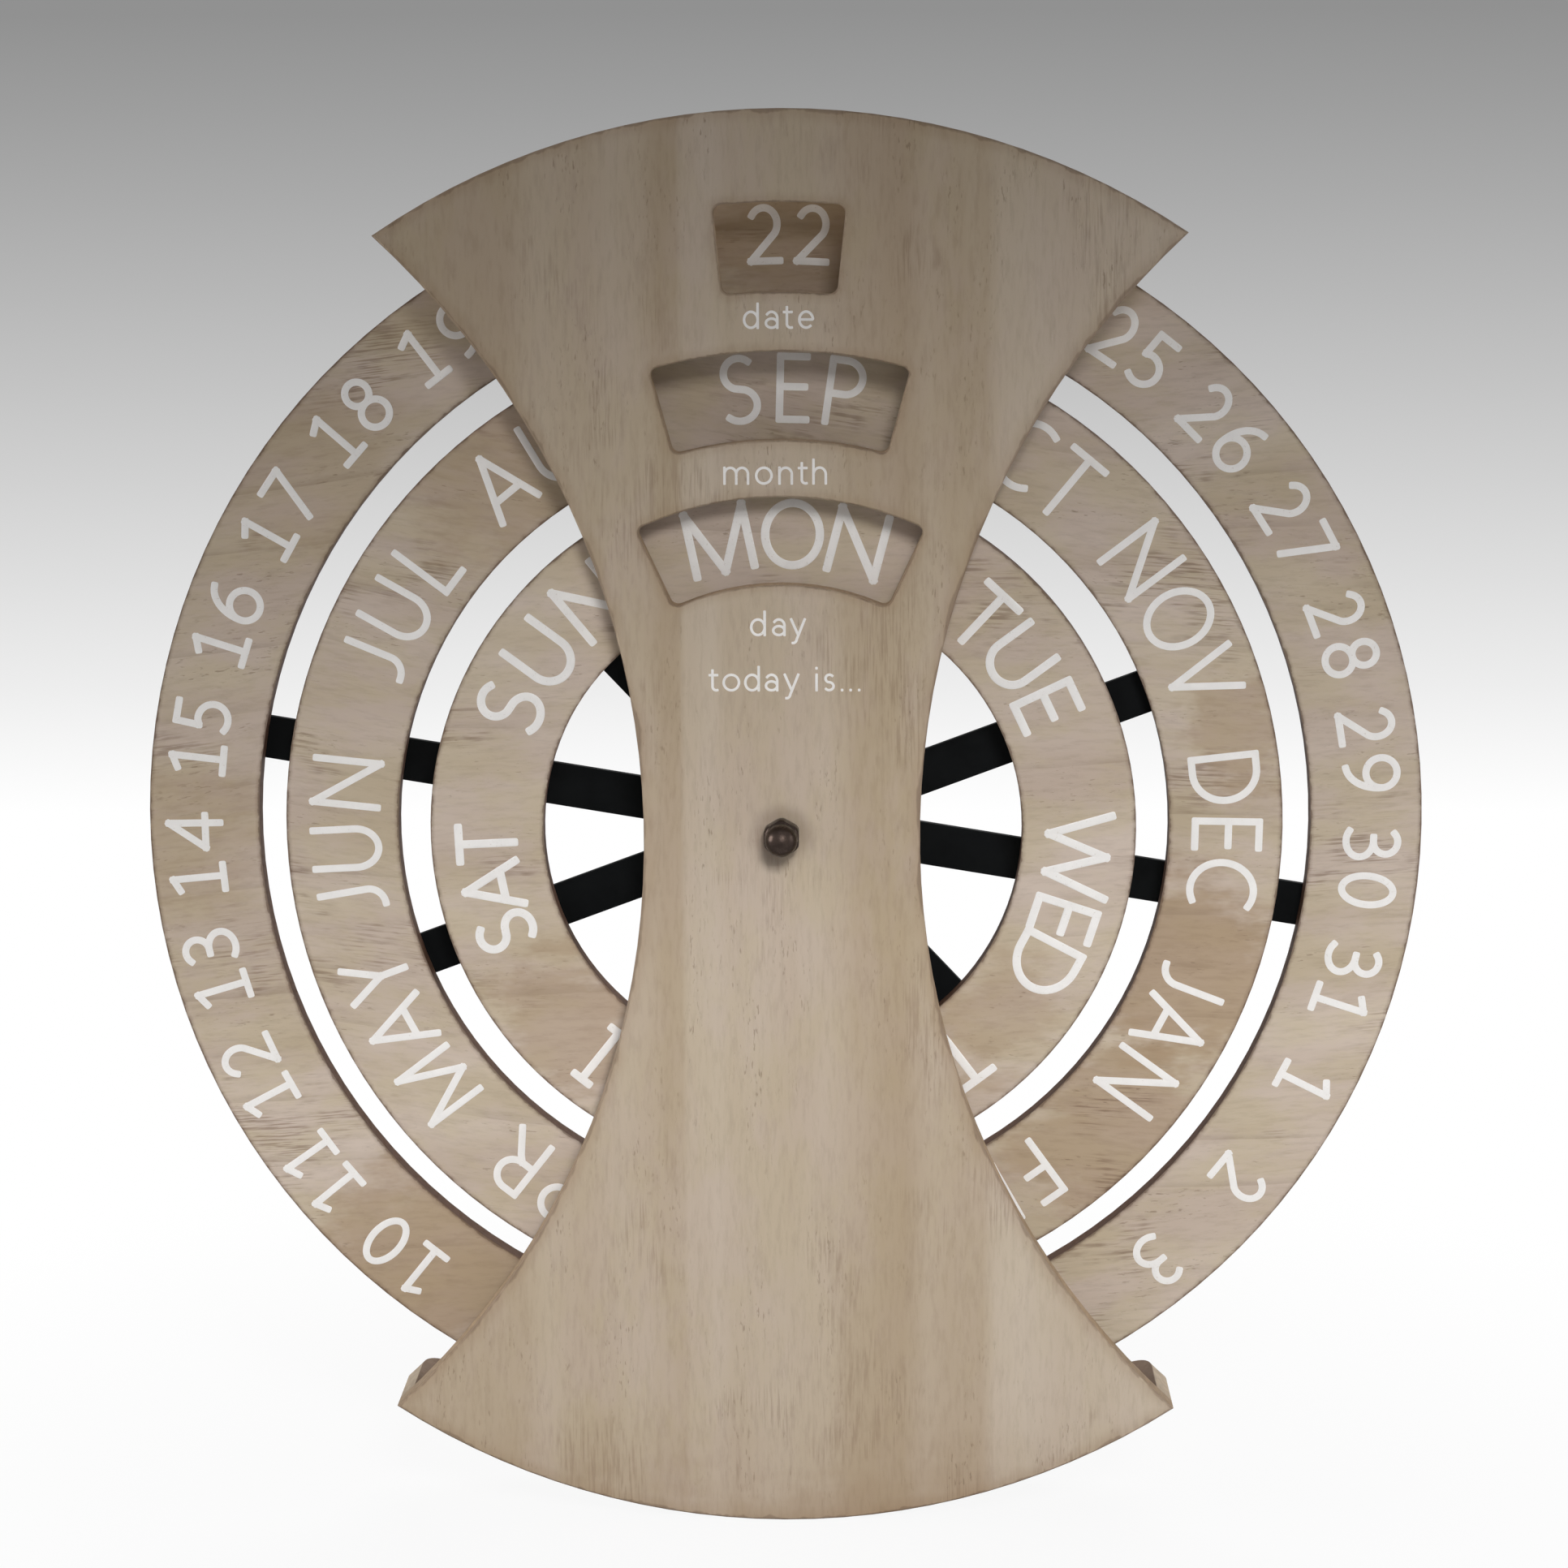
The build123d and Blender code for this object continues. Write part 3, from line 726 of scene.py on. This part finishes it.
def limed_wood(name, wood, pale, brown, wall, turn, shift, figure, shares, finish=None, inside=None):
    """Wood whose grain is filled with a pale wash.  The grain runs along Z after a turn and a
    shift, the cut walls have their own colour, and finish adds what one piece alone has.  Figure
    holds the sway, its pitch, the bands' pitch and the growth rings to a metre.  Shares holds the
    strength of the drifting hue, the growth rings, the fine lines and the clusters of fibres."""
    material, w, shader, _, place = new_material(name)
    turned = w.add("ShaderNodeMapping", {"Vector": place["Object"], "Location": shift,
                                         "Rotation": turn}).outputs[0]
    sizes = dict(zip(("Waver", "Waver Pitch", "Band Pitch", "Growth Rings"), figure))
    grain = w.group("long_grain", {"Vector": turned, **sizes})
    hue, growth, lines, fibres = shares
    tone = w.blend(w.times(grain["Band"], 0.85), pale, brown)
    tone = w.blend(hue, tone, w.blend(grain["Cloud"], wood.straw, wood.ash_grey))
    if finish is not None:
        tone = finish(w, tone, place["Object"])
    for part, share, tint in (("Growth", growth, wood.grain_line), ("Line", lines, wood.grain_line),
                              ("Fibre", fibres, wood.fibre), ("Pore", 0.45, wood.grain_line)):
        tone = w.blend(w.times(grain[part], share), tone, tint)

    side = w.group("cut_wall", {"Normal": place["Normal"]})["Wall"]
    char = w.mask(turned, (900.0, 300.0, 120.0), 0.3, 0.7, 3.0)
    # Painted shade: walls nearer the hub than the given radius darken, as on the foot strip's inner
    # face and the blocks behind the plate and the wheels
    wall_tone = w.blend(w.times(char, 0.5), wall, darker(wall, 0.6))
    if inside is not None:
        near = w.ramp(round_hub(w, place["Object"])[1], inside - 0.2 * MM, inside + 0.2 * MM,
                      0.75, 0.0)
        wall_tone = w.blend(near, wall_tone, wood.scorch)
    height = w.less(1.0, w.plus(w.times(grain["Line"], 0.5), grain["Pore"]))
    w.feed(shader, {"Base Color": w.blend(side, tone, wall_tone),
                    "Roughness": w.ramp(grain["Line"], 0.0, 1.0, 0.66, 0.80),
                    "Normal": w.bump(height, wood.relief, 0.5), "Specular IOR Level": 0.2})
    return material


def coat(name, tint, dark, cloud, grit, rough, metallic=0.0, specular=0.5, speck=None):
    """Paint, metal or plastic, made once for each name.  The tint darkens in clouds, which change
    the roughness too, and a fine grit lifts the skin.  Cloud is its strength, pitch, detail and
    roughness, and grit its pitch, detail, height in mm and strength.  A speck colour shows
    through in small dots."""
    if name in bpy.data.materials:
        return bpy.data.materials[name]
    material, w, shader, _, place = new_material(name)
    strength, pitch, detail, roughness = cloud
    clouds = w.mask(place["Object"], pitch, 0.3, 0.7, detail, roughness)
    tone = w.blend(w.times(clouds, strength), tint, darker(tint, dark))
    if speck is not None:
        dots = w.mask(place["Object"], (2300.0, 900.0, 2300.0), 0.66, 0.76)
        tone = w.blend(w.times(dots, 0.4), tone, speck)
    pitch, detail, height, strength = grit
    skin = w.bump(w.noise(place["Object"], pitch, detail), height * MM, strength)
    w.feed(shader, {"Base Color": tone, "Roughness": w.ramp(clouds, 0.0, 1.0, *rough),
                    "Normal": skin, "Metallic": metallic, "Specular IOR Level": specular})
    return material


def metal(name, tint, dark, pitch, rough):
    """Bare or plated metal with fine random scratches."""
    return coat(name, tint, dark, (1.0, pitch, 4.0, 0.6), ((6000.0, 3000.0, 6000.0), 2.0, 0.008, 0.5),
                (rough, rough + 0.14), metallic=1.0)


def bright_zinc(context):
    return metal("bright_zinc", context.scene.calendar_metals.zinc, 0.8, 350.0, 0.28)


def white_print(context):
    """Thin white paint, a little uneven, that lets the grain through in specks."""
    scene = context.scene
    return coat("white_print", scene.calendar_letters.ink, 0.82, (0.25, 260.0, 3.0, 0.6),
                ((1400.0, 700.0, 1400.0), 3.0, 0.03, 0.5), (0.5, 0.66),
                speck=scene.calendar_wood.ring_brown)


def dress(material, *node_names):
    """Gives nodes of the frame their material."""
    for name in node_names:
        if name not in NODES:
            raise RuntimeError(f"the frame has no node named {name}")
        mesh = NODES[name].data
        mesh.materials.clear()
        mesh.materials.append(material)


# ---- Operators ----

# Place across the plate in mm, and how pale its staves are there, from brown at 0 to pale at 1
STAVES = ((-70, 0.3), (-62, 0.2), (-55, 0.6), (-44, 0.5), (-38, 0.75), (-32, 0.5), (-27, 0.15),
          (-23.5, 0.2), (-22, 0.75), (-16, 1.0), (-12, 0.6), (-2, 0.75), (10, 0.7), (16, 0.25),
          (28, 0.1), (34, 0.45), (40, 0.3), (47, 0.35), (50, 0.9), (58, 1.0), (66, 0.8))
STAVE_SPAN = 0.1
# Turn of each ring's grain in degrees, its shift, and its sway in metres
RING_GRAINS = {"date": (94.0, (0.07, 0.2, 0.4), 0.024), "month": (84.0, (0.5, 0.1, 0.9), 0.028),
               "day": (91.0, (0.93, 0.3, 0.2), 0.020)}
# Heartwood: place across and above the hub and reach in mm, and how strong it is.  The first date
# patch lies behind the date window at rest and is painted shade of that window as well as heartwood
HEARTS_AND_SHADE = {"date": ((2, 136, 26, 0.55), (-146, -4, 26, 0.3), (-84, -106, 34, 0.65),
                   (-112, 86, 30, 0.3)),
          "month": ((98, -34, 30, 0.75), (76, -74, 30, 0.6), (-66, 80, 24, 0.4),
                    (104, 24, 16, 0.5)),
          "day": ((-52, -46, 22, 0.5), (50, -46, 18, 0.4))}


class CALENDAR_OT_shader_groups(bpy.types.Operator):
    """Build the shader groups that the woods share"""
    bl_idname = "calendar.shader_groups"
    bl_label = "Shader groups"

    def execute(self, context):
        group_long_grain()
        group_cut_wall()
        group_ring_rim()
        group_outline_rim()
        group_window_rim()
        return {"FINISHED"}


class CALENDAR_OT_front_plate(bpy.types.Operator):
    """Finish the hourglass plate: upright grain, glued staves, browned edges and windows, and painted
    shade round the nut
    """
    bl_idname = "calendar.front_plate"
    bl_label = "Front plate"

    def execute(self, context):
        wood = context.scene.calendar_wood
        span = np.array(wood.plate_pale) - np.array(wood.plate_brown)
        stops = [((across * MM + STAVE_SPAN) / (2 * STAVE_SPAN),
                  tuple(np.array(wood.plate_brown) + span * share)) for across, share in STAVES]
        stops.append((1.0, wood.plate_pale))

        def plate_finish(w, tone, place):
            across, _, up = w.split(place)
            staves = w.shades(across, -STAVE_SPAN, STAVE_SPAN, stops)
            fading = w.mask(place, (30.0, 30.0, 9.0), 0.30, 0.66, start=0.40, end=0.80)
            tone = w.blend(fading, tone, staves)
            patchy = w.mask(place, (45.0, 45.0, 90.0), 0.34, 0.66, 3.0, 0.6, 0.45, 1.0)
            # Darker towards the bottom of the plate, in the colour of the edge stain, patchy
            low_darkening = w.ramp(up, 0.0, 0.032, 0.45, 0.0)
            tone = w.blend(w.times(low_darkening, patchy), tone, wood.edge_stain)
            edge = w.group("outline_rim", {"Vector": place, "Reach": 4 * MM})["Rim"]
            tone = w.blend(w.times(edge, 0.34), tone, wood.edge_stain)
            tone = w.blend(w.ramp(edge, 0.90, 1.0, 0.0, 0.40), tone, wood.scorch)
            uneven = w.mask(place, 120.0, 0.35, 0.65, start=0.15, end=0.5)
            for inner, outer, half in WINDOWS:
                rim = w.group("window_rim", {"Vector": place, "Inner": inner, "Outer": outer,
                                             "Half Angle": half, "Reach": 3 * MM})["Rim"]
                tone = w.blend(w.times(w.ramp(rim, 0.0, 1.0), 0.30), tone, wood.edge_stain)
                tone = w.blend(w.times(w.ramp(rim, 0.84, 0.97), uneven), tone, wood.scorch)
            # Painted shade round the nut's foot, with some dirt: darker from 9 mm in to 4.5 mm from
            # the hub, patchy
            nut_shade_and_dirt = w.ramp(round_hub(w, place)[1], 4.5 * MM, 9 * MM, 0.35, 0.0)
            return w.blend(w.times(nut_shade_and_dirt, patchy), tone, wood.scorch)

        dress(limed_wood("plate_limed_wood", wood, wood.plate_pale, wood.plate_brown,
                         wood.plate_wall, (0, 0, 0), (0.31, 0.0, 0.12), (0.004, 7.0, 62.0, 60.0),
                         (0.5, 0.04, 0.13, 0.25), plate_finish), "front_plate")
        return {"FINISHED"}


class CALENDAR_OT_rings(bpy.types.Operator):
    """Finish the three rings: level grain, ragged scorched edges, dark walls, and darker patches, one
    of them partly painted shade behind the date window
    """
    bl_idname = "calendar.rings"
    bl_label = "Rings"

    def execute(self, context):
        wood = context.scene.calendar_wood
        for wheel, (turn, shift, sway) in RING_GRAINS.items():

            def ring_finish(w, tone, place, wheel=wheel):
                flat = round_hub(w, place)[0]
                clouds = w.noise(place, (40.0, 40.0, 90.0), 4.0, 0.65)
                waver = w.times(w.less(clouds, 0.5), 0.05)
                # Darker patches: heartwood, and in the first date patch painted shade of the date
                # window as well
                for across, up, reach, share in HEARTS_AND_SHADE[wheel]:
                    away = w.plus(w.distance(flat, (across * MM, up * MM, 0)), waver)
                    near = w.ramp(away, reach * MM / 2, reach * MM, share, 0.0)
                    tone = w.blend(near, tone, wood.heart)
                inner, outer = RINGS[wheel]
                rim = w.group("ring_rim", {"Vector": place, "Inner": inner, "Outer": outer,
                                           "Reach": 1.3 * MM})["Rim"]
                tone = w.blend(w.times(rim, 0.35), tone, wood.scorch)
                return w.blend(w.ramp(rim, 0.72, 1.0, 0.0, 0.6), tone, wood.scorch)

            dress(limed_wood(f"{wheel}_ring_limed_wood", wood, wood.ring_pale, wood.ring_brown,
                             wood.scorch, (0, radians(turn), 0), shift, (sway, 9.0, 42.0, 75.0),
                             (0.5, 0.22, 0.14, 0.5), ring_finish), f"{wheel}_ring")
        return {"FINISHED"}


class CALENDAR_OT_foot(bpy.types.Operator):
    """Finish the bent foot strip and its three blocks, with painted shade on the walls inside the
    strip
    """
    bl_idname = "calendar.foot"
    bl_label = "Foot"

    def execute(self, context):
        wood = context.scene.calendar_wood
        material = limed_wood("foot_limed_wood", wood, wood.foot_pale, wood.foot_brown,
                              wood.foot_pale, (0, radians(90), 0), (0.2, 0.4, 0.7),
                              (0.006, 8.0, 60.0, 60.0), (0.4, 0.12, 0.15, 0.3),
                              inside=FOOT_SHADE_RADIUS)
        dress(material, "foot_strip", *(f"foot_block_{block}" for block in BLOCK_ANGLES))
        return {"FINISHED"}


class CALENDAR_OT_bars(bpy.types.Operator):
    """Coat the three bars in matte black, with a fine pebbled skin"""
    bl_idname = "calendar.bars"
    bl_label = "Bars"

    def execute(self, context):
        black = coat("black_powder_coat", context.scene.calendar_metals.bar_black, 0.6,
                     (1.0, 90.0, 3.0, 0.5), (2600.0, 2.0, 0.03, 0.6), (0.5, 0.62), specular=0.05)
        dress(black, *(f"{wheel}_bar" for wheel in WHEELS))
        return {"FINISHED"}


class CALENDAR_OT_pivot(bpy.types.Operator):
    """Make the smooth acorn nut and clamp nut, and finish the bolt and the washers"""
    bl_idname = "calendar.pivot"
    bl_label = "Pivot"

    def execute(self, context):
        metals = context.scene.calendar_metals
        low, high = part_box("acorn_nut")
        across_flats = high.x - low.x
        base, tip, dome = high.y, low.y, 3.75 * MM
        # Distance in front of the base and radius, in mm: the bore, the hexagon with its bevels,
        # and the step up to the dome
        profile = ((7, 0), (7, 2.55), (0, 2.55), (0, 4.2), (0.25, 4.34), (3.65, 4.34), (4, 4.15),
                   (4, 3.9), (4.15, 3.75))
        rows = [(base - ahead * MM, radius * MM) for ahead, radius in profile]
        bend = np.radians(np.linspace(0, 90, 13))[:-1]
        rows += [(tip + dome - dome * np.sin(angle), dome * np.cos(angle)) for angle in bend]
        rows += [(tip, 0)]
        bronze = metal("dark_bronze", metals.nut_bronze, 0.6, 500.0, 0.24)
        nut = new_piece("acorn_nut_turned", [turned_hexagon(rows, across_flats, False)], "stand",
                        bronze, 32)
        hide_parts("acorn_nut")

        near, far = (corner.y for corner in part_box("clamp_nut"))
        bore, bevelled, widest, bevel = 2.6 * MM, 4.1 * MM, 4.6 * MM, 0.4 * MM
        rows = [(far, bore), (far, bevelled), (far - bevel, widest), (near + bevel, widest),
                (near, bevelled), (near, bore)]
        zinc = bright_zinc(context)
        nut = new_piece("clamp_nut_turned", [turned_hexagon(rows, across_flats, True)], "stand",
                        zinc, 32)
        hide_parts("clamp_nut")

        dress(zinc, "pivot_bolt", "spring_washer", "rear_washer", "plate_washer")
        nylon = coat("natural_nylon", metals.nylon, 0.9, (1.0, 300.0, 3.0, 0.5),
                     (3000.0, 2.0, 0.01, 0.4), (0.4, 0.5))
        dress(nylon, "spacer_sleeve", "day_month_washer", "month_date_washer")
        return {"FINISHED"}


class CALENDAR_OT_screws(bpy.types.Operator):
    """Set pan-head screws in the ends of the bars and in the backs of the foot blocks"""
    bl_idname = "calendar.screws"
    bl_label = "Screws"

    def execute(self, context):
        metals = context.scene.calendar_metals
        black = metal("blackened_screw", paint(46, 45, 44), 0.6, 500.0, 0.38)
        for wheel in WHEELS:
            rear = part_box(f"{wheel}_bar")[1].y
            middle = sum(RINGS[wheel]) / 2
            parts = [rear_screw(metals, 0.4 + 0.7 * index + end / 90,
                                middle + step * metals.bar_screw_offset,
                                radians(BAR_SLOPES[wheel] + end), rear)
                     for end in (0, 180) for index, step in enumerate((-1, 1))]
            new_piece(f"{wheel}_bar_screws", parts, f"{wheel}_wheel", black)
        parts = [rear_screw(metals, 0.9 * index + turn, BLOCK_SCREW_RADIUS,
                            radians(turn + step * BLOCK_SCREW_STEP - 90),
                            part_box(f"foot_block_{block}")[1].y)
                 for block, turn in BLOCK_ANGLES.items() for index, step in enumerate((-1, 1))]
        new_piece("block_screws", parts, "stand", bright_zinc(context))
        return {"FINISHED"}


def print_round(context, name, wheel, kind, glyphs, words):
    """Prints words round a wheel's ring.  Each is the word, the gaps between its letters, its
    angle, its shifts along and outwards in mm, and its height and breadth."""
    ink = context.scene.calendar_letters
    height, stroke, middle = (getattr(ink, f"{kind}_{part}")
                              for part in ("height", "stroke", "middle"))
    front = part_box(f"{wheel}_ring")[0].y
    parts = []
    for word, gaps, angle, along, out, tall, broad in words:
        letters, total = print_word(word, glyphs, gaps, tall * height, stroke, ink, broad)
        parts += on_ring(letters, total, middle, angle, along * MM, out * MM, front)
    new_piece(name, parts, f"{wheel}_wheel", white_print(context))


def set_round(words, top):
    """Words at even angles round a ring, with the one at a place in the list at the top."""
    return [(word, gaps, radians(360 / len(words) * (index - top)), *shape)
            for index, (word, gaps, *shape) in enumerate(words)]


class CALENDAR_OT_date_numbers(bpy.types.Operator):
    """Print the numbers 1 to 31 round the date ring.  The print sits a little off centre: its
    shift along and outwards is a sum of the cosines and sines of the angle and twice the angle"""
    bl_idname = "calendar.date_numbers"
    bl_label = "Date numbers"

    def execute(self, context):
        words = []
        for number in range(1, 32):
            angle = 2 * np.pi * (number - 22) / 31
            terms = np.array([1, np.cos(angle), np.sin(angle), np.cos(2 * angle),
                              np.sin(2 * angle)])
            along = float(terms @ (1.95, -0.28, 1.71, 0.18, 0.27))
            out = float(terms @ (-0.08, -0.97, -0.47, -0.14, 0.34))
            words.append((str(number), (2.8,), angle, along, out, 1.0, 0.98))
        print_round(context, "date_numbers", "date", "number", DIGITS, words)
        return {"FINISHED"}


class CALENDAR_OT_month_names(bpy.types.Operator):
    """Print the months round the month ring"""
    bl_idname = "calendar.month_names"
    bl_label = "Month names"

    def execute(self, context):
        words = set_round(MONTH_WORDS, 8)
        print_round(context, "month_names", "month", "month", CAPITALS, words)
        return {"FINISHED"}


class CALENDAR_OT_day_names(bpy.types.Operator):
    """Print the weekdays round the day ring"""
    bl_idname = "calendar.day_names"
    bl_label = "Day names"

    def execute(self, context):
        print_round(context, "day_names", "day", "day", CAPITALS, set_round(DAY_WORDS, 0))
        return {"FINISHED"}


class CALENDAR_OT_captions(bpy.types.Operator):
    """Print the small captions under the windows of the plate"""
    bl_idname = "calendar.captions"
    bl_label = "Captions"

    def execute(self, context):
        ink = context.scene.calendar_letters
        parts = []
        for word, gaps, left, baseline in CAPTIONS:
            letters, _ = print_word(word, SMALL_LETTERS, gaps, ink.caption_height,
                                    ink.caption_stroke, ink)
            parts += on_plate(letters, HUB[0] + left * MM, HUB[1] + baseline * MM,
                              ink.caption_height, PLATE_LOW.y)
        new_piece("plate_captions", parts, "stand", white_print(context))
        return {"FINISHED"}


# ---- Studio ----

# Places in metres.  Banks: middle, spacing, columns and rows, and radius of a lamp
BANKS = {"key": ((0.34, -1.60, 1.12), 0.18, (3, 3), 0.09),
         "fill": ((-0.05, -1.60, 0.65), 0.50, (5, 3), 0.12)}
# Boxes: place and side
BOXES = {"left": ((-1.5, -0.16, 0.55), 0.8), "right": ((1.5, -0.16, 0.5), 0.8),
         "rear": ((0.3, 1.0, 1.15), 1.0)}
CALENDAR_MIDDLE = (0.0, 0.0, 0.16)
# Height of the steady lamps' edge, above the calendar, and the angle of every lamp's cone
STEADY_HEIGHT = 0.70
CONE = radians(36)
# Sheet: radius of its bend, where that starts, and how far it goes ahead, up and to each side
SHEET = (0.35, 0.75, 4.0, 4.0, 5.0)
# On the sheet: heights between which it greys, how far aside the grey ends, and how far from the
# middle of the floor the floor's own shading ends
GREY_HEIGHTS = (0.02, 0.40)
GREY_ENDS = (1.5, 3.5)
SHADING_ENDS = (0.10, 0.34)
# Camera: place against the hub at the front of the plate, and turns right, down and clockwise
CAMERA_PLACE = (0.02084, -0.84675, 0.15179)
CAMERA_TURNS = (-0.02393, 0.1633, 0.00461)


def new_lamp(name, kind, power, place, turn):
    lamp = bpy.data.lights.new(name, kind)
    lamp.energy = power
    holder = bpy.data.objects.new(name, lamp)
    holder.location = place
    holder.rotation_euler = turn
    bpy.context.scene.collection.objects.link(holder)
    return lamp


def soft_box(name, power, place, side):
    """Square area lamp that faces the calendar's middle."""
    ahead = Vector(CALENDAR_MIDDLE) - Vector(place)
    lamp = new_lamp(name, "AREA", power, place, ahead.to_track_quat("-Z", "Y").to_euler())
    lamp.shape = "SQUARE"
    lamp.size = side


def lamp_bank(name, studio, power, middle, spacing, grid, radius):
    """Bank of spot lamps on an upright grid in front, that acts as one broad soft source.  Each
    place holds two lamps, pitched half a cone below an edge height on the plate: the steady one's
    edge is above the calendar, and the other's is the fade height, so the light thins out
    towards the top."""
    columns, rows = grid
    for column, row in np.ndindex(columns, rows):
        place = Vector(middle) + spacing * Vector((column - (columns - 1) / 2, 0,
                                                   row - (rows - 1) / 2))
        for part, share, height in (("steady", studio.steady, STEADY_HEIGHT),
                                    ("fading", 1 - studio.steady, studio.fade_height)):
            ahead = Vector((HUB[0], PLATE_LOW.y, height)) - place
            pitch = np.arctan2(ahead.z, np.hypot(ahead.x, ahead.y)) - CONE / 2
            turn = (radians(90) + pitch, 0, np.arctan2(-ahead.x, ahead.y))
            lamp = new_lamp(f"{name}_{part}_{column}_{row}", "SPOT",
                            power * share / (columns * rows), place, turn)
            lamp.shadow_soft_size = radius
            lamp.spot_size, lamp.spot_blend = CONE, 0.10


def sweep_sheet(name, material):
    """Floor and backdrop in one sheet: a profile of floor, quarter round and wall, carried
    straight across."""
    radius, back, ahead, up, side = SHEET
    bend = np.radians(np.linspace(0, 90, 25))
    profile = np.concatenate([[(-ahead, 0.0)], np.stack([back + radius * np.sin(bend),
                                                         radius - radius * np.cos(bend)], -1),
                              [(back + radius, up)]])
    left, right = (np.column_stack([np.full(len(profile), across), profile])
                   for across in (-side, side))
    points = np.stack([left, right], axis=1).reshape(-1, 3)
    row = np.arange(len(profile) - 1)[:, None] * 2
    mesh = bpy.data.meshes.new(name)
    mesh.from_pydata(points.tolist(), [], (row + (0, 1, 3, 2)).tolist())
    mesh.shade_smooth()
    mesh.materials.append(material)
    sheet = bpy.data.objects.new(name, mesh)
    bpy.context.scene.collection.objects.link(sheet)


def backdrop_material(studio):
    """Pale floor that shows its own shadow near the calendar.  Further off, and up the wall, what
    the camera sees fades to plain white and then, in the middle, to grey with height.  From
    behind, the sheet is clear, so the calendar's back can be seen."""
    material, w, shader, output, place = new_material("studio_paper")
    w.feed(shader, {"Base Color": (*studio.floor_tone, 1), "Roughness": 0.9})
    across, deep, up = w.split(place["Object"])
    # The display grey falls off with the height, raised to a power
    greys = [(share, 255 * (1 - share ** 0.88 * (1 - studio.backdrop_top)))
             for share in np.linspace(0, 1, 9)]
    stops = [(share, paint(grey, grey, grey)) for share, grey in greys]
    grey = w.shades(up, *GREY_HEIGHTS, stops)
    grey = w.blend(w.ramp(w.absolute(across), *GREY_ENDS), grey, (1, 1, 1))
    glow = w.add("ShaderNodeEmission", {"Color": grey, "Strength": 1.0})
    far = w.ramp(w.length(w.vector(across, deep)), *SHADING_ENDS, 0.92, 1.0)
    front = w.add("ShaderNodeMixShader", {0: w.times(w.seen(), far), 1: shader.outputs[0],
                                          2: glow.outputs[0]})
    behind = w.add("ShaderNodeNewGeometry").outputs["Backfacing"]
    clear = w.add("ShaderNodeBsdfTransparent")
    mixed = w.add("ShaderNodeMixShader", {0: behind, 1: front.outputs[0], 2: clear.outputs[0]})
    w.feed(output, {"Surface": mixed.outputs[0]})
    return material


class CALENDAR_OT_studio(bpy.types.Operator):
    """Set up the floor, backdrop, soft boxes and camera"""
    bl_idname = "calendar.studio"
    bl_label = "Studio"

    def execute(self, context):
        scene = context.scene
        studio = scene.calendar_studio
        scene.view_settings.view_transform = "Standard"
        sweep_sheet("studio_sweep", backdrop_material(studio))
        for name, shape in BANKS.items():
            lamp_bank(name, studio, getattr(studio, name), *shape)
        for name, shape in BOXES.items():
            soft_box(f"{name}_box", getattr(studio, name), *shape)

        world = bpy.data.worlds.new("studio_sky")
        world.use_nodes = True
        w = Wiring(world.node_tree)
        brightness = w.ramp(w.seen(), 0.0, 1.0, studio.sky, 1.0)
        sky = w.add("ShaderNodeBackground", {"Color": (1, 1, 1, 1), "Strength": brightness})
        w.add("ShaderNodeOutputWorld", {"Surface": sky.outputs[0]})
        scene.world = world

        right, down, roll = CAMERA_TURNS
        turn = (Matrix.Rotation(-right, 4, "Z") @ Matrix.Rotation(radians(90) - down, 4, "X")
                @ Matrix.Rotation(-roll, 4, "Z"))
        view = bpy.data.cameras.new("view_camera")
        view.lens = studio.lens
        view.sensor_width = 36
        view.clip_start, view.clip_end = 0.05, 20
        camera = bpy.data.objects.new("view_camera", view)
        place = Vector((HUB[0], PLATE_LOW.y, HUB[1])) + Vector(CAMERA_PLACE)
        camera.matrix_world = Matrix.Translation(place) @ turn
        scene.collection.objects.link(camera)
        scene.camera = camera
        return {"FINISHED"}


class CALENDAR_PT_pieces(bpy.types.Panel):
    """Buttons that make the calendar piece by piece"""
    bl_idname = "CALENDAR_PT_pieces"
    bl_label = "Desk calendar"
    bl_space_type = "VIEW_3D"
    bl_region_type = "UI"
    bl_category = "Calendar"

    def draw(self, context):
        for operator in OPERATORS:
            self.layout.operator(operator.bl_idname)


SETTINGS = {"calendar_wood": WoodSettings, "calendar_letters": LetterSettings,
            "calendar_metals": MetalSettings, "calendar_studio": StudioSettings}
OPERATORS = (
    CALENDAR_OT_shader_groups, CALENDAR_OT_front_plate, CALENDAR_OT_rings, CALENDAR_OT_foot,
    CALENDAR_OT_bars, CALENDAR_OT_pivot, CALENDAR_OT_screws, CALENDAR_OT_date_numbers,
    CALENDAR_OT_month_names, CALENDAR_OT_day_names, CALENDAR_OT_captions, CALENDAR_OT_studio,
)


def register():
    for group in SETTINGS.values():
        bpy.utils.register_class(group)
    for name, group in SETTINGS.items():
        setattr(bpy.types.Scene, name, PointerProperty(type=group))
    for operator in OPERATORS:
        bpy.utils.register_class(operator)
    bpy.utils.register_class(CALENDAR_PT_pieces)


def unregister():
    bpy.utils.unregister_class(CALENDAR_PT_pieces)
    for operator in reversed(OPERATORS):
        bpy.utils.unregister_class(operator)
    for name, group in SETTINGS.items():
        delattr(bpy.types.Scene, name)
        bpy.utils.unregister_class(group)


def main():
    """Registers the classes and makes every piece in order."""
    register()
    for operator in OPERATORS:
        group, name = operator.bl_idname.split(".")
        getattr(getattr(bpy.ops, group), name)()


if __name__ == "__main__":
    main()
